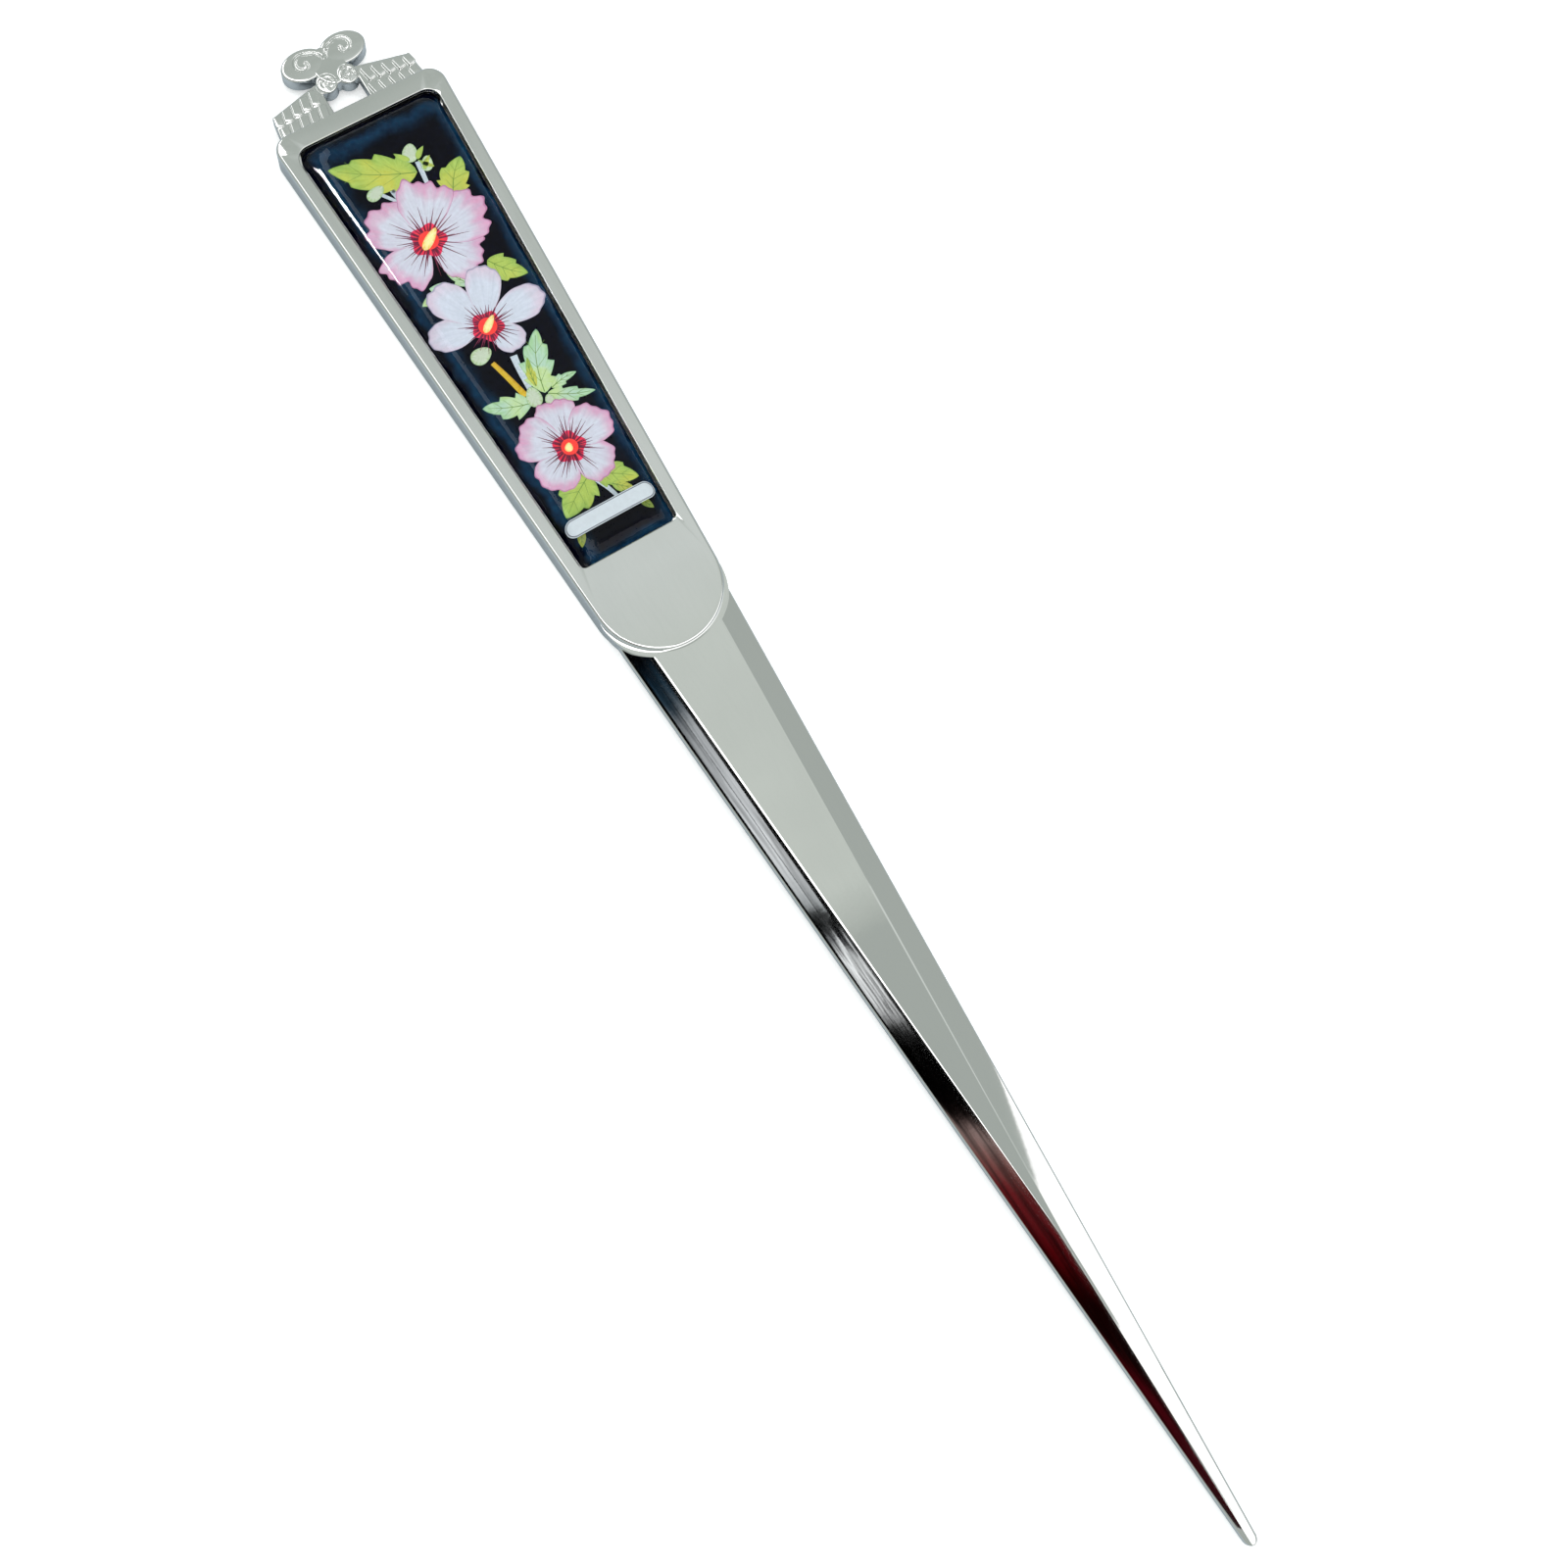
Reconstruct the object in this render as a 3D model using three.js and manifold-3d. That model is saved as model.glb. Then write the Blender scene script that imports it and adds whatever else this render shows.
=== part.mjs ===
// A souvenir letter opener: a plated die casting (blade, handle and crest in one) with a domed picture
// panel set into the handle, and a small label stuck on the dome.
//
// Millimetres. The opener lies on its back: +Z is up out of the picture panel, +X runs towards the blade's
// tip, and Y is across. The origin is on the handle's back face, under the middle of the recess.

import * as THREE from 'three';
import { mergeVertices } from 'three/addons/utils/BufferGeometryUtils.js';
import Module from 'manifold-3d';

// --- Driving dimensions ---------------------------------------------------------------------------------

// Handle: a slab that narrows towards the blade and ends in a half circle. The end width is where its
// straight sides would meet the end.
const HANDLE_LENGTH = 84.0;
const HANDLE_TOP_WIDTH = 24.6;
const HANDLE_END_WIDTH = 16.2;
const HANDLE_THICKNESS = 4.2;
const HANDLE_CORNER_RADIUS = 2.3;
const HANDLE_EDGE_ROUND = 0.4;

// Recess for the picture panel, with rims measured from the handle's edges.
const RECESS_LENGTH = 66.7;
const RECESS_TOP_RIM = 2.7;
const RECESS_SIDE_RIM = 1.9;
const RECESS_DEPTH = 2.2;
const RECESS_TOP_RADIUS = 1.9;
const RECESS_END_RADIUS = 0.9;

// Blade: two wide bevels either side of a flat, which narrows to a ridge before the tip.
const BLADE_LENGTH = 125.8;
const BLADE_ROOT_WIDTH = 15.5;
const BLADE_THICKNESS = 2.8;
const BLADE_BEVEL_WIDTH = 2.92;
const BLADE_EDGE_THICKNESS = 1.0;
const BLADE_TIP_WIDTH = 1.6;
const BLADE_RIDGE_WIDTH = 0.3;
const BLADE_OVERLAP = 9.0;

// Crest: a thin slab of two large scrolls, two small curls and two tiled wings, with a web between the
// scrolls and an opening between the curls and the handle.
const CREST_THICKNESS = 2.3;
const CREST_EDGE_ROUND = 0.25;
const CREST_HEIGHT = 10.45;
const SCROLL_WIDTH = 6.3;
const SCROLL_HEIGHT = 4.5;
const SCROLL_OVERLAP = 0.35;
const SCROLL_BORDER = 0.55;
const SCROLL_TURNS = 1.25;
const CURL_RADIUS = 1.45;
const CURL_RISE = 4.55;
const CURL_APART = 0.1;
const CURL_BORDER = 0.5;
const CURL_TURNS = 1.0;
const SPIRAL_EYE = 0.35;
const WEB_LENGTH = 5.7;
const WEB_WIDTH = 3.6;
const WING_BITE = 0.35;
const WING_MARGIN = 2.3;
const WING_FLARE = 0.6;
const WING_OUTER_HEIGHT = 3.6;
const WING_INNER_HEIGHT = 5.3;
const WING_SETBACK = 0.2;
const WING_CORNER_RADIUS = 0.35;
const TILE_ROWS = 2;
const TILE_PITCH = 1.42;
const GROOVE_WIDTH = 0.3;
const GROOVE_DEPTH = 0.3;

// Picture panel, from the recess floor upwards.
const LAYER_GAP = 0.05;
const PANEL_CLEARANCE = 0.25;
const ADHESIVE_THICKNESS = 0.2;
const BACKING_THICKNESS = 0.6;
const SHEET_THICKNESS = 0.25;
const DOME_EDGE_HEIGHT = 0.35;
const DOME_RISE = 1.45;
const DOME_ROUNDING = 1.1;
const DOME_REACH_SHARE = 0.9;

// Label: a pill bent over the dome.
const LABEL_LENGTH = 12.6;
const LABEL_WIDTH = 2.35;
const LABEL_THICKNESS = 0.12;
const LABEL_FROM_RECESS_END = 4.9;

// Fineness of the curves, and the smallest corner that is worth drawing.
const HANDLE_STEPS = 12;
const WING_STEPS = 3;
const SCROLL_STEPS = 32;
const PANEL_STEPS = 5;
const LABEL_STEPS = 8;
const DOME_RINGS = 8;
const DOME_RING_CROWDING = 2;
const TIP_STEPS = 4;
const SPIRAL_STEPS_PER_TURN = 14;
const SMALLEST_CORNER = 0.1;
const ROUND_END_SHARE = 0.995;
const GROOVE_END_SHARE = 0.3;
const WELD_DISTANCE = 1e-5;

// --- Derived places -------------------------------------------------------------------------------------

const recessStart = -RECESS_LENGTH / 2;
const recessEnd = RECESS_LENGTH / 2;
const handleStart = recessStart - RECESS_TOP_RIM;
const handleEnd = handleStart + HANDLE_LENGTH;
const tipX = handleEnd + BLADE_LENGTH;
const middleZ = HANDLE_THICKNESS / 2;
const handleSlope = (HANDLE_TOP_WIDTH - HANDLE_END_WIDTH) / 2 / HANDLE_LENGTH;
const bladeSlope = (BLADE_ROOT_WIDTH - BLADE_TIP_WIDTH) / 2 / BLADE_LENGTH;
const recessFloor = HANDLE_THICKNESS - RECESS_DEPTH;
const crestTop = middleZ + CREST_THICKNESS / 2;
const curlY = CURL_RADIUS + CURL_APART / 2;
const wingInner = curlY + CURL_RADIUS - WING_BITE;
const wingSpan = HANDLE_TOP_WIDTH / 2 - WING_MARGIN;

const adhesiveZ = recessFloor + LAYER_GAP;
const backingZ = adhesiveZ + ADHESIVE_THICKNESS + LAYER_GAP;
const sheetZ = backingZ + BACKING_THICKNESS + LAYER_GAP;
const domeZ = sheetZ + SHEET_THICKNESS + LAYER_GAP;

// --- Solids ---------------------------------------------------------------------------------------------

const wasm = await Module();
wasm.setup();

// A closed geometry as a solid that can be joined and cut.
function solid(geometry) {
  const bare = geometry.index ? geometry.toNonIndexed() : geometry.clone();
  bare.deleteAttribute('normal');
  bare.deleteAttribute('uv');
  const merged = mergeVertices(bare, WELD_DISTANCE);
  const mesh = new wasm.Mesh({
    numProp: 3,
    vertProperties: new Float32Array(merged.attributes.position.array),
    triVerts: new Uint32Array(merged.index.array),
  });
  return new wasm.Manifold(mesh);
}

function geometryOf(body) {
  const mesh = body.getMesh();
  const geometry = new THREE.BufferGeometry();
  geometry.setAttribute('position', new THREE.BufferAttribute(new Float32Array(mesh.vertProperties), 3));
  geometry.setIndex(new THREE.BufferAttribute(new Uint32Array(mesh.triVerts), 1));
  geometry.computeVertexNormals();
  return geometry;
}

// A flat slab of a shape between two heights, with its edges rounded by `round`.
function slab(shape, bottom, top, round = 0) {
  const geometry = new THREE.ExtrudeGeometry(shape, {
    depth: top - bottom - 2 * round,
    bevelEnabled: round > 0,
    bevelThickness: round,
    bevelSize: round,
    bevelOffset: -round,
    bevelSegments: 2,
  });
  geometry.translate(0, 0, bottom + round);
  return geometry;
}

// A closed skin over a row of rings with the same number of points, with a fan over each end.
function loft(rings) {
  const positions = [];
  const indices = [];
  const count = rings[0].length;
  for (const ring of rings) {
    for (const point of ring) {
      positions.push(point.x, point.y, point.z);
    }
  }
  for (let row = 0; row + 1 < rings.length; row += 1) {
    for (let i = 0; i < count; i += 1) {
      const next = (i + 1) % count;
      const a = row * count + i;
      const b = row * count + next;
      indices.push(a, b, b + count, a, b + count, a + count);
    }
  }
  const closeEnd = (ring, first, flip) => {
    const centre = new THREE.Vector3();
    ring.forEach((point) => centre.addScaledVector(point, 1 / count));
    const centreIndex = positions.length / 3;
    positions.push(centre.x, centre.y, centre.z);
    for (let i = 0; i < count; i += 1) {
      const a = first + i;
      const b = first + ((i + 1) % count);
      indices.push(centreIndex, flip ? b : a, flip ? a : b);
    }
  };
  closeEnd(rings[0], 0, true);
  closeEnd(rings.at(-1), (rings.length - 1) * count, false);
  const geometry = new THREE.BufferGeometry();
  geometry.setAttribute('position', new THREE.Float32BufferAttribute(positions, 3));
  geometry.setIndex(indices);
  return geometry;
}

// --- Outlines -------------------------------------------------------------------------------------------

// The points round a polygon whose corners are each rounded by their own radius; corners are [x, y, radius].
function roundedOutline(corners, steps) {
  return corners.flatMap(([x, y, radius], i) => {
    const here = new THREE.Vector2(x, y);
    const last = corners.at(i - 1);
    const next = corners[(i + 1) % corners.length];
    const back = new THREE.Vector2(last[0], last[1]).sub(here).normalize();
    const ahead = new THREE.Vector2(next[0], next[1]).sub(here).normalize();
    const halfAngle = Math.acos(back.dot(ahead)) / 2;
    const inward = back.clone().add(ahead).normalize();
    const centre = here.clone().addScaledVector(inward, radius / Math.sin(halfAngle));
    const halfTurn = Math.PI / 2 - halfAngle;
    const towardCorner = Math.atan2(-inward.y, -inward.x);
    const side = Math.sign(back.cross(ahead));
    return Array.from({ length: steps + 1 }, (_, step) => {
      const angle = towardCorner + side * halfTurn * (1 - (2 * step) / steps);
      return new THREE.Vector2(centre.x + radius * Math.cos(angle), centre.y + radius * Math.sin(angle));
    });
  });
}

// The radius that rounds the narrow end of a tapered outline from side to side.
function fullRound(halfWidth, slope) {
  const cornerAngle = Math.PI / 2 + Math.atan(slope);
  return ROUND_END_SHARE * halfWidth * Math.tan(cornerAngle / 2);
}

function handleHalfWidth(x) {
  return HANDLE_TOP_WIDTH / 2 - (x - handleStart) * handleSlope;
}

function handleShape() {
  const top = HANDLE_TOP_WIDTH / 2;
  const end = HANDLE_END_WIDTH / 2;
  const endRadius = fullRound(end, handleSlope);
  return new THREE.Shape(roundedOutline([
    [handleStart, top, HANDLE_CORNER_RADIUS],
    [handleStart, -top, HANDLE_CORNER_RADIUS],
    [handleEnd, -end, endRadius],
    [handleEnd, end, endRadius],
  ], HANDLE_STEPS));
}

// The recess outline, brought in by `inset` on every side: the rim keeps its width down the handle's taper.
function panelOutline(inset) {
  const startX = recessStart + inset;
  const endX = recessEnd - inset;
  const startY = handleHalfWidth(startX) - RECESS_SIDE_RIM - inset;
  const endY = handleHalfWidth(endX) - RECESS_SIDE_RIM - inset;
  const startRadius = Math.max(RECESS_TOP_RADIUS - inset, SMALLEST_CORNER);
  const endRadius = Math.max(RECESS_END_RADIUS - inset, SMALLEST_CORNER);
  return roundedOutline([
    [startX, startY, startRadius],
    [startX, -startY, startRadius],
    [endX, -endY, endRadius],
    [endX, endY, endRadius],
  ], PANEL_STEPS);
}

// --- Casting --------------------------------------------------------------------------------------------

function bladeHalfWidth(x) {
  const straight = BLADE_ROOT_WIDTH / 2 - (x - handleEnd) * bladeSlope;
  const tipRadius = fullRound(BLADE_TIP_WIDTH / 2, bladeSlope);
  const pastCentre = x - (tipX - tipRadius);
  return pastCentre <= 0 ? straight : Math.sqrt(Math.max(tipRadius ** 2 - pastCentre ** 2, 0));
}

// One cross-section of the blade: a flat, a bevel and a thin edge, the same on both faces and both sides.
function bladeSection(x) {
  const half = Math.max(bladeHalfWidth(x), SMALLEST_CORNER);
  const flat = Math.max(half - BLADE_BEVEL_WIDTH, Math.min(BLADE_RIDGE_WIDTH, half) / 2);
  const edge = BLADE_EDGE_THICKNESS / 2;
  const bevelSlope = (BLADE_THICKNESS / 2 - edge) / BLADE_BEVEL_WIDTH;
  const face = edge + (half - flat) * bevelSlope;
  const corners = [
    [half, -edge], [half, edge], [flat, face], [-flat, face],
    [-half, edge], [-half, -edge], [-flat, -face], [flat, -face],
  ];
  return corners.map(([y, z]) => new THREE.Vector3(x, y, middleZ + z));
}

// Straight from root to tip: a station at each end, one where the flat becomes a ridge, and the round tip.
function bladeGeometry() {
  const ridgeX = handleEnd + (BLADE_ROOT_WIDTH / 2 - BLADE_BEVEL_WIDTH - BLADE_RIDGE_WIDTH / 2) / bladeSlope;
  const tipRadius = fullRound(BLADE_TIP_WIDTH / 2, bladeSlope);
  const stations = [handleEnd - BLADE_OVERLAP, ridgeX];
  for (let step = 0; step <= TIP_STEPS; step += 1) {
    const turn = (step / TIP_STEPS) * (Math.PI / 2);
    stations.push(tipX - tipRadius * (1 - Math.sin(turn)));
  }
  return loft(stations.map(bladeSection));
}

function ellipseShape(x, y, halfLength, halfWidth) {
  const points = [];
  for (let step = 0; step < SCROLL_STEPS; step += 1) {
    const angle = (step / SCROLL_STEPS) * 2 * Math.PI;
    points.push(new THREE.Vector2(x + halfLength * Math.cos(angle), y + halfWidth * Math.sin(angle)));
  }
  return new THREE.Shape(points);
}

function crestSlab(shape, setback = 0) {
  const half = CREST_THICKNESS / 2 - setback;
  return solid(slab(shape, middleZ - half, middleZ + half, CREST_EDGE_ROUND));
}

// A wing of the crest, from its inner end beside the small scroll to its flared outer end.
function wingShape(side) {
  const overlap = handleStart + HANDLE_EDGE_ROUND + CREST_EDGE_ROUND;
  const outer = side * wingSpan;
  return new THREE.Shape(roundedOutline([
    [overlap, side * (wingSpan + WING_FLARE), WING_CORNER_RADIUS],
    [overlap, side * wingInner, WING_CORNER_RADIUS],
    [handleStart - WING_INNER_HEIGHT, side * wingInner, WING_CORNER_RADIUS],
    [handleStart - WING_OUTER_HEIGHT, outer, WING_CORNER_RADIUS],
  ], WING_STEPS));
}

// A ribbon along a spiral that winds outwards from a small eye, as a shape to cut a groove with.
function spiralShape(centreX, centreY, side, endRadius, turns) {
  const outer = [];
  const inner = [];
  const steps = Math.round(turns * SPIRAL_STEPS_PER_TURN);
  for (let step = 0; step <= steps; step += 1) {
    const share = step / steps;
    const radius = THREE.MathUtils.lerp(SPIRAL_EYE, endRadius, share);
    const angle = Math.PI + share * turns * 2 * Math.PI;
    const half = (GROOVE_WIDTH / 2) * (step === 0 || step === steps ? GROOVE_END_SHARE : 1);
    const at = (distance) => new THREE.Vector2(
      centreX + distance * Math.cos(angle),
      centreY + side * distance * Math.sin(angle),
    );
    outer.push(at(radius + half));
    inner.unshift(at(radius - half));
  }
  return new THREE.Shape([...outer, ...inner]);
}

function groove(shape) {
  return solid(slab(shape, crestTop - GROOVE_DEPTH, crestTop + GROOVE_DEPTH));
}

// The joints between the roof tiles of one wing: a line between the rows, and short joints across each row.
function tileJoints(side) {
  const faceZ = crestTop - WING_SETBACK;
  const rowHeight = WING_OUTER_HEIGHT / TILE_ROWS;
  const joints = [];
  const joint = (x0, x1, y0, y1) => {
    const box = new THREE.BoxGeometry(x1 - x0, y1 - y0, 2 * GROOVE_DEPTH);
    box.translate((x0 + x1) / 2, side * (y0 + y1) / 2, faceZ);
    joints.push(solid(box));
  };
  for (let row = 0; row < TILE_ROWS; row += 1) {
    const low = handleStart - (row + 1) * rowHeight;
    for (let y = wingInner + TILE_PITCH; y + GROOVE_WIDTH < wingSpan; y += TILE_PITCH) {
      joint(low + GROOVE_WIDTH, low + rowHeight - GROOVE_WIDTH, y, y + GROOVE_WIDTH);
    }
    if (row > 0) {
      const line = low + rowHeight;
      joint(line - GROOVE_WIDTH / 2, line + GROOVE_WIDTH / 2, wingInner + GROOVE_WIDTH, wingSpan);
    }
  }
  return joints;
}

function crest() {
  const scrollX = handleStart - CREST_HEIGHT + SCROLL_HEIGHT / 2;
  const scrollY = SCROLL_WIDTH / 2 - SCROLL_OVERLAP;
  const curlX = handleStart - CURL_RISE;
  const webX = curlX + CURL_RADIUS / 2 - WEB_LENGTH / 2;
  let body = crestSlab(ellipseShape(webX, 0, WEB_LENGTH / 2, WEB_WIDTH / 2));
  const cuts = [];
  for (const side of [-1, 1]) {
    body = body.add(crestSlab(wingShape(side), WING_SETBACK));
    body = body.add(crestSlab(ellipseShape(scrollX, side * scrollY, SCROLL_HEIGHT / 2, SCROLL_WIDTH / 2)));
    body = body.add(crestSlab(ellipseShape(curlX, side * curlY, CURL_RADIUS, CURL_RADIUS)));
    cuts.push(groove(spiralShape(scrollX, side * scrollY, side, SCROLL_HEIGHT / 2 - SCROLL_BORDER, SCROLL_TURNS)));
    cuts.push(groove(spiralShape(curlX, side * curlY, side, CURL_RADIUS - CURL_BORDER, CURL_TURNS)));
    cuts.push(...tileJoints(side));
  }
  for (const cut of cuts) {
    body = body.subtract(cut);
  }
  return body;
}

function castingGeometry() {
  const handle = solid(slab(handleShape(), 0, HANDLE_THICKNESS, HANDLE_EDGE_ROUND));
  const recess = solid(slab(new THREE.Shape(panelOutline(0)), recessFloor, HANDLE_THICKNESS + RECESS_DEPTH));
  const body = handle.add(crest()).add(solid(bladeGeometry())).subtract(recess);
  return geometryOf(body);
}

// --- Picture panel --------------------------------------------------------------------------------------

// One flat layer of the insert, which stops short of the recess walls.
function layer(bottom, thickness) {
  return slab(new THREE.Shape(panelOutline(PANEL_CLEARANCE)), bottom, bottom + thickness);
}

// The poured dome lies like a puddle: steep at its rim and nearly flat in the middle. `lift` raises its top.
function domeGeometry(lift = 0) {
  const ring = (inset, z) => panelOutline(PANEL_CLEARANCE + inset)
    .map((point) => new THREE.Vector3(point.x, point.y, z));
  const edgeZ = domeZ + DOME_EDGE_HEIGHT;
  const innermost = DOME_REACH_SHARE * (handleHalfWidth(recessEnd) - RECESS_SIDE_RIM - PANEL_CLEARANCE);
  const rings = [ring(0, domeZ), ring(0, edgeZ + lift)];
  for (let step = 1; step <= DOME_RINGS; step += 1) {
    const inset = innermost * (step / DOME_RINGS) ** DOME_RING_CROWDING;
    rings.push(ring(inset, edgeZ + lift + DOME_RISE * (1 - Math.exp(-inset / DOME_ROUNDING))));
  }
  return loft(rings);
}

// The label: a thin skin over the dome, cut to a pill.
function labelGeometry() {
  const x = recessEnd - LABEL_FROM_RECESS_END;
  const radius = ROUND_END_SHARE * LABEL_WIDTH / 2;
  const halfLength = LABEL_LENGTH / 2;
  const pill = new THREE.Shape(roundedOutline([
    [x - LABEL_WIDTH / 2, halfLength, radius],
    [x - LABEL_WIDTH / 2, -halfLength, radius],
    [x + LABEL_WIDTH / 2, -halfLength, radius],
    [x + LABEL_WIDTH / 2, halfLength, radius],
  ], LABEL_STEPS));
  const highest = domeZ + DOME_EDGE_HEIGHT + DOME_RISE + 2 * LABEL_THICKNESS + LAYER_GAP;
  const prism = solid(slab(pill, domeZ + DOME_EDGE_HEIGHT, highest));
  const skin = solid(domeGeometry(LAYER_GAP + LABEL_THICKNESS)).subtract(solid(domeGeometry(LAYER_GAP)));
  return geometryOf(skin.intersect(prism));
}

// --- Assembly -------------------------------------------------------------------------------------------

function part(name, geometry, material) {
  const mesh = new THREE.Mesh(geometry, new THREE.MeshStandardMaterial(material));
  mesh.name = name;
  return mesh;
}

const opener = new THREE.Group();
opener.name = 'letter_opener';
opener.add(
  part('body_casting', castingGeometry(), { color: 0xb9beb7, roughness: 0.12, metalness: 1 }),
  part('adhesive_sheet', layer(adhesiveZ, ADHESIVE_THICKNESS), { color: 0xd8d8d2, roughness: 0.8 }),
  part('backing_plate', layer(backingZ, BACKING_THICKNESS), { color: 0x0b0c10, roughness: 0.5 }),
  part('printed_nacre_sheet', layer(sheetZ, SHEET_THICKNESS), { color: 0x0a1230, roughness: 0.35 }),
  part('resin_dome', domeGeometry(), {
    color: 0xf4f8fa, roughness: 0.04, transparent: true, opacity: 0.2,
  }),
  part('origin_label', labelGeometry(), { color: 0xdfe8ef, roughness: 0.35 }),
);

export default opener;
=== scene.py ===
# %% [markdown]
# # A letter opener with a domed flower panel
#
# The object is a souvenir letter opener: one bright plated casting (blade, handle and pierced crest), with a
# flower picture set into the handle under a clear poured dome, and a small sticker on the dome. The packed
# model gives the frame, so every piece below is made in the same place, in metres, and rides on it.

# %% The frame
import math
from functools import partial

import bmesh
import bpy
import numpy as np
from mathutils import Matrix, Vector, noise


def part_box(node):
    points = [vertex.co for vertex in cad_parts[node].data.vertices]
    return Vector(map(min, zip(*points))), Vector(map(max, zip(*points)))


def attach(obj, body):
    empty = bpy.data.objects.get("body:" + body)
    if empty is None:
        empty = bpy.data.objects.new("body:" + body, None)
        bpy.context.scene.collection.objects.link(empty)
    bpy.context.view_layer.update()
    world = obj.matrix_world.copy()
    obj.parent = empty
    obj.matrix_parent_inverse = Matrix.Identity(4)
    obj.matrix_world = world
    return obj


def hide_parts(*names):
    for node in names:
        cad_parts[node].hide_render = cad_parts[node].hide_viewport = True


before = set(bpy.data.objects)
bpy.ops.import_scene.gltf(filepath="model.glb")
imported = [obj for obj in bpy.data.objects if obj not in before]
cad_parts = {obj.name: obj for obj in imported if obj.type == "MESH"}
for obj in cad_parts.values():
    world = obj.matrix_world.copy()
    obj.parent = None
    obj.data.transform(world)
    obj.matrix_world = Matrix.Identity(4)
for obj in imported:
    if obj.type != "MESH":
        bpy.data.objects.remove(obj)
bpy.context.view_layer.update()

MM = 0.001
casting_low, casting_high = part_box("body_casting")
print("overall length", round((casting_high.x - casting_low.x) / MM, 2), "mm")

# %% [markdown]
# ## Camera, floor and light
#
# The opener lies on its back and is seen from above, a little from the blade's left. The camera is near, so
# the blade gets visibly narrower than the crest. A mirror finish shows the room more than its own colour, so
# the light is planned as a room: a grey ceiling for the flats, one white strip overhead that draws the bright
# lines on the ridges, a white window past the tip, and a dark shape where the person stands, which blackens
# the left bevel. Lamps that mirrors don't see then lift the floor and the picture without spoiling that.

# %% Camera
CAMERA_PLACE = Vector((109.17, -55.18, 265.25)) * MM
CAMERA_AIM = Vector((68.6, 1.2, 0.0)) * MM
CAMERA_UP = Vector((-0.838, 0.4935, 0.2331))
FRAME_SIDE = 36.0
CAMERA_LENS = 50.76


def aim(place, target, up):
    """A matrix at place that looks at target, with up upwards in the picture."""
    back = (place - target).normalized()
    right = up.cross(back).normalized()
    turned = Matrix((right, back.cross(right), back)).transposed().to_4x4()
    return Matrix.Translation(place) @ turned


def linked_object(name, data):
    """An object with this data, in the scene."""
    made = bpy.data.objects.new(name, data)
    bpy.context.collection.objects.link(made)
    return made


camera_data = bpy.data.cameras.new("camera")
camera_data.lens = CAMERA_LENS
camera_data.sensor_width = FRAME_SIDE
camera_data.clip_start = 0.01
camera = linked_object("camera", camera_data)
camera.matrix_world = aim(CAMERA_PLACE, CAMERA_AIM, CAMERA_UP)
bpy.context.scene.camera = camera
bpy.context.scene.view_settings.view_transform = "Standard"
bpy.context.scene.view_settings.look = "None"
print("camera height", round(CAMERA_PLACE.z / MM), "mm")


# %% Small helpers for colours and nodes
def screen_colour(red, green, blue):
    """A colour as it looks on a screen, 0 to 255, as the linear colour that shaders take."""
    linear = []
    for value in (red, green, blue):
        share = value / 255
        linear.append(share / 12.92 if share <= 0.04045 else ((share + 0.055) / 1.055) ** 2.4)
    return (*linear, 1.0)


def wire(tree, source, target):
    """Lead a socket, or a plain value, into a node's input."""
    if isinstance(source, bpy.types.NodeSocket):
        tree.links.new(source, target)
    else:
        target.default_value = source


def fill(tree, node, **settings):
    """Set a node's properties and, by socket name, wire or set its inputs."""
    for name, value in settings.items():
        if name in node.bl_rna.properties:
            setattr(node, name, value)
        else:
            wire(tree, value, node.inputs[name.replace("_", " ")])
    return node


def add_node(tree, kind, **settings):
    return fill(tree, tree.nodes.new(kind), **settings)


def maths(tree, operation, *values):
    """The result of a Math node on these numbers or sockets."""
    node = add_node(tree, "ShaderNodeMath", operation=operation)
    for value, target in zip(values, node.inputs):
        wire(tree, value, target)
    return node.outputs[0]


def ranged(tree, value, low, high, **settings):
    """How far a value has come from low to high, 0 to 1 unless the settings say otherwise."""
    node = add_node(tree, "ShaderNodeMapRange", Value=value, From_Min=low, From_Max=high, **settings)
    return node.outputs[0]


def noisy(tree, place, **settings):
    """A cloudy value between 0 and 1 that changes over the place."""
    return add_node(tree, "ShaderNodeTexNoise", Vector=place, **settings).outputs["Fac"]


def object_place(tree):
    return tree.nodes.new("ShaderNodeTexCoord").outputs["Object"]


def map_place(tree):
    return add_node(tree, "ShaderNodeUVMap", uv_map="ink_map").outputs[0]


def split(tree, vector):
    return add_node(tree, "ShaderNodeSeparateXYZ", Vector=vector).outputs


def scaled(tree, colour, factor):
    """A colour or vector times a factor."""
    return add_node(tree, "ShaderNodeVectorMath", operation="SCALE", Vector=colour, Scale=factor).outputs[0]


def mixed_colour(tree, mask, first, second, blend="MIX", amount=None):
    """Mix two colours (or sockets) by a mask, which may be scaled by an amount."""
    if amount is not None:
        mask = maths(tree, "MULTIPLY", mask, amount)
    node = add_node(tree, "ShaderNodeMix", data_type="RGBA", blend_type=blend, Factor=mask)
    wire(tree, first, node.inputs[6])
    wire(tree, second, node.inputs[7])
    return node.outputs[2]


def painted(material):
    """The node tree of a material and its shader."""
    material.use_nodes = True
    return material.node_tree, material.node_tree.nodes["Principled BSDF"]


# %% Floor, cards and lamps
FLOOR_SIDE = 6.0
FLOOR_GAP = 0.02 * MM
FLOOR_LIFT = 0.45
CARD_HEIGHT = 600 * MM
NO_WIDTH = 0.001


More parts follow.
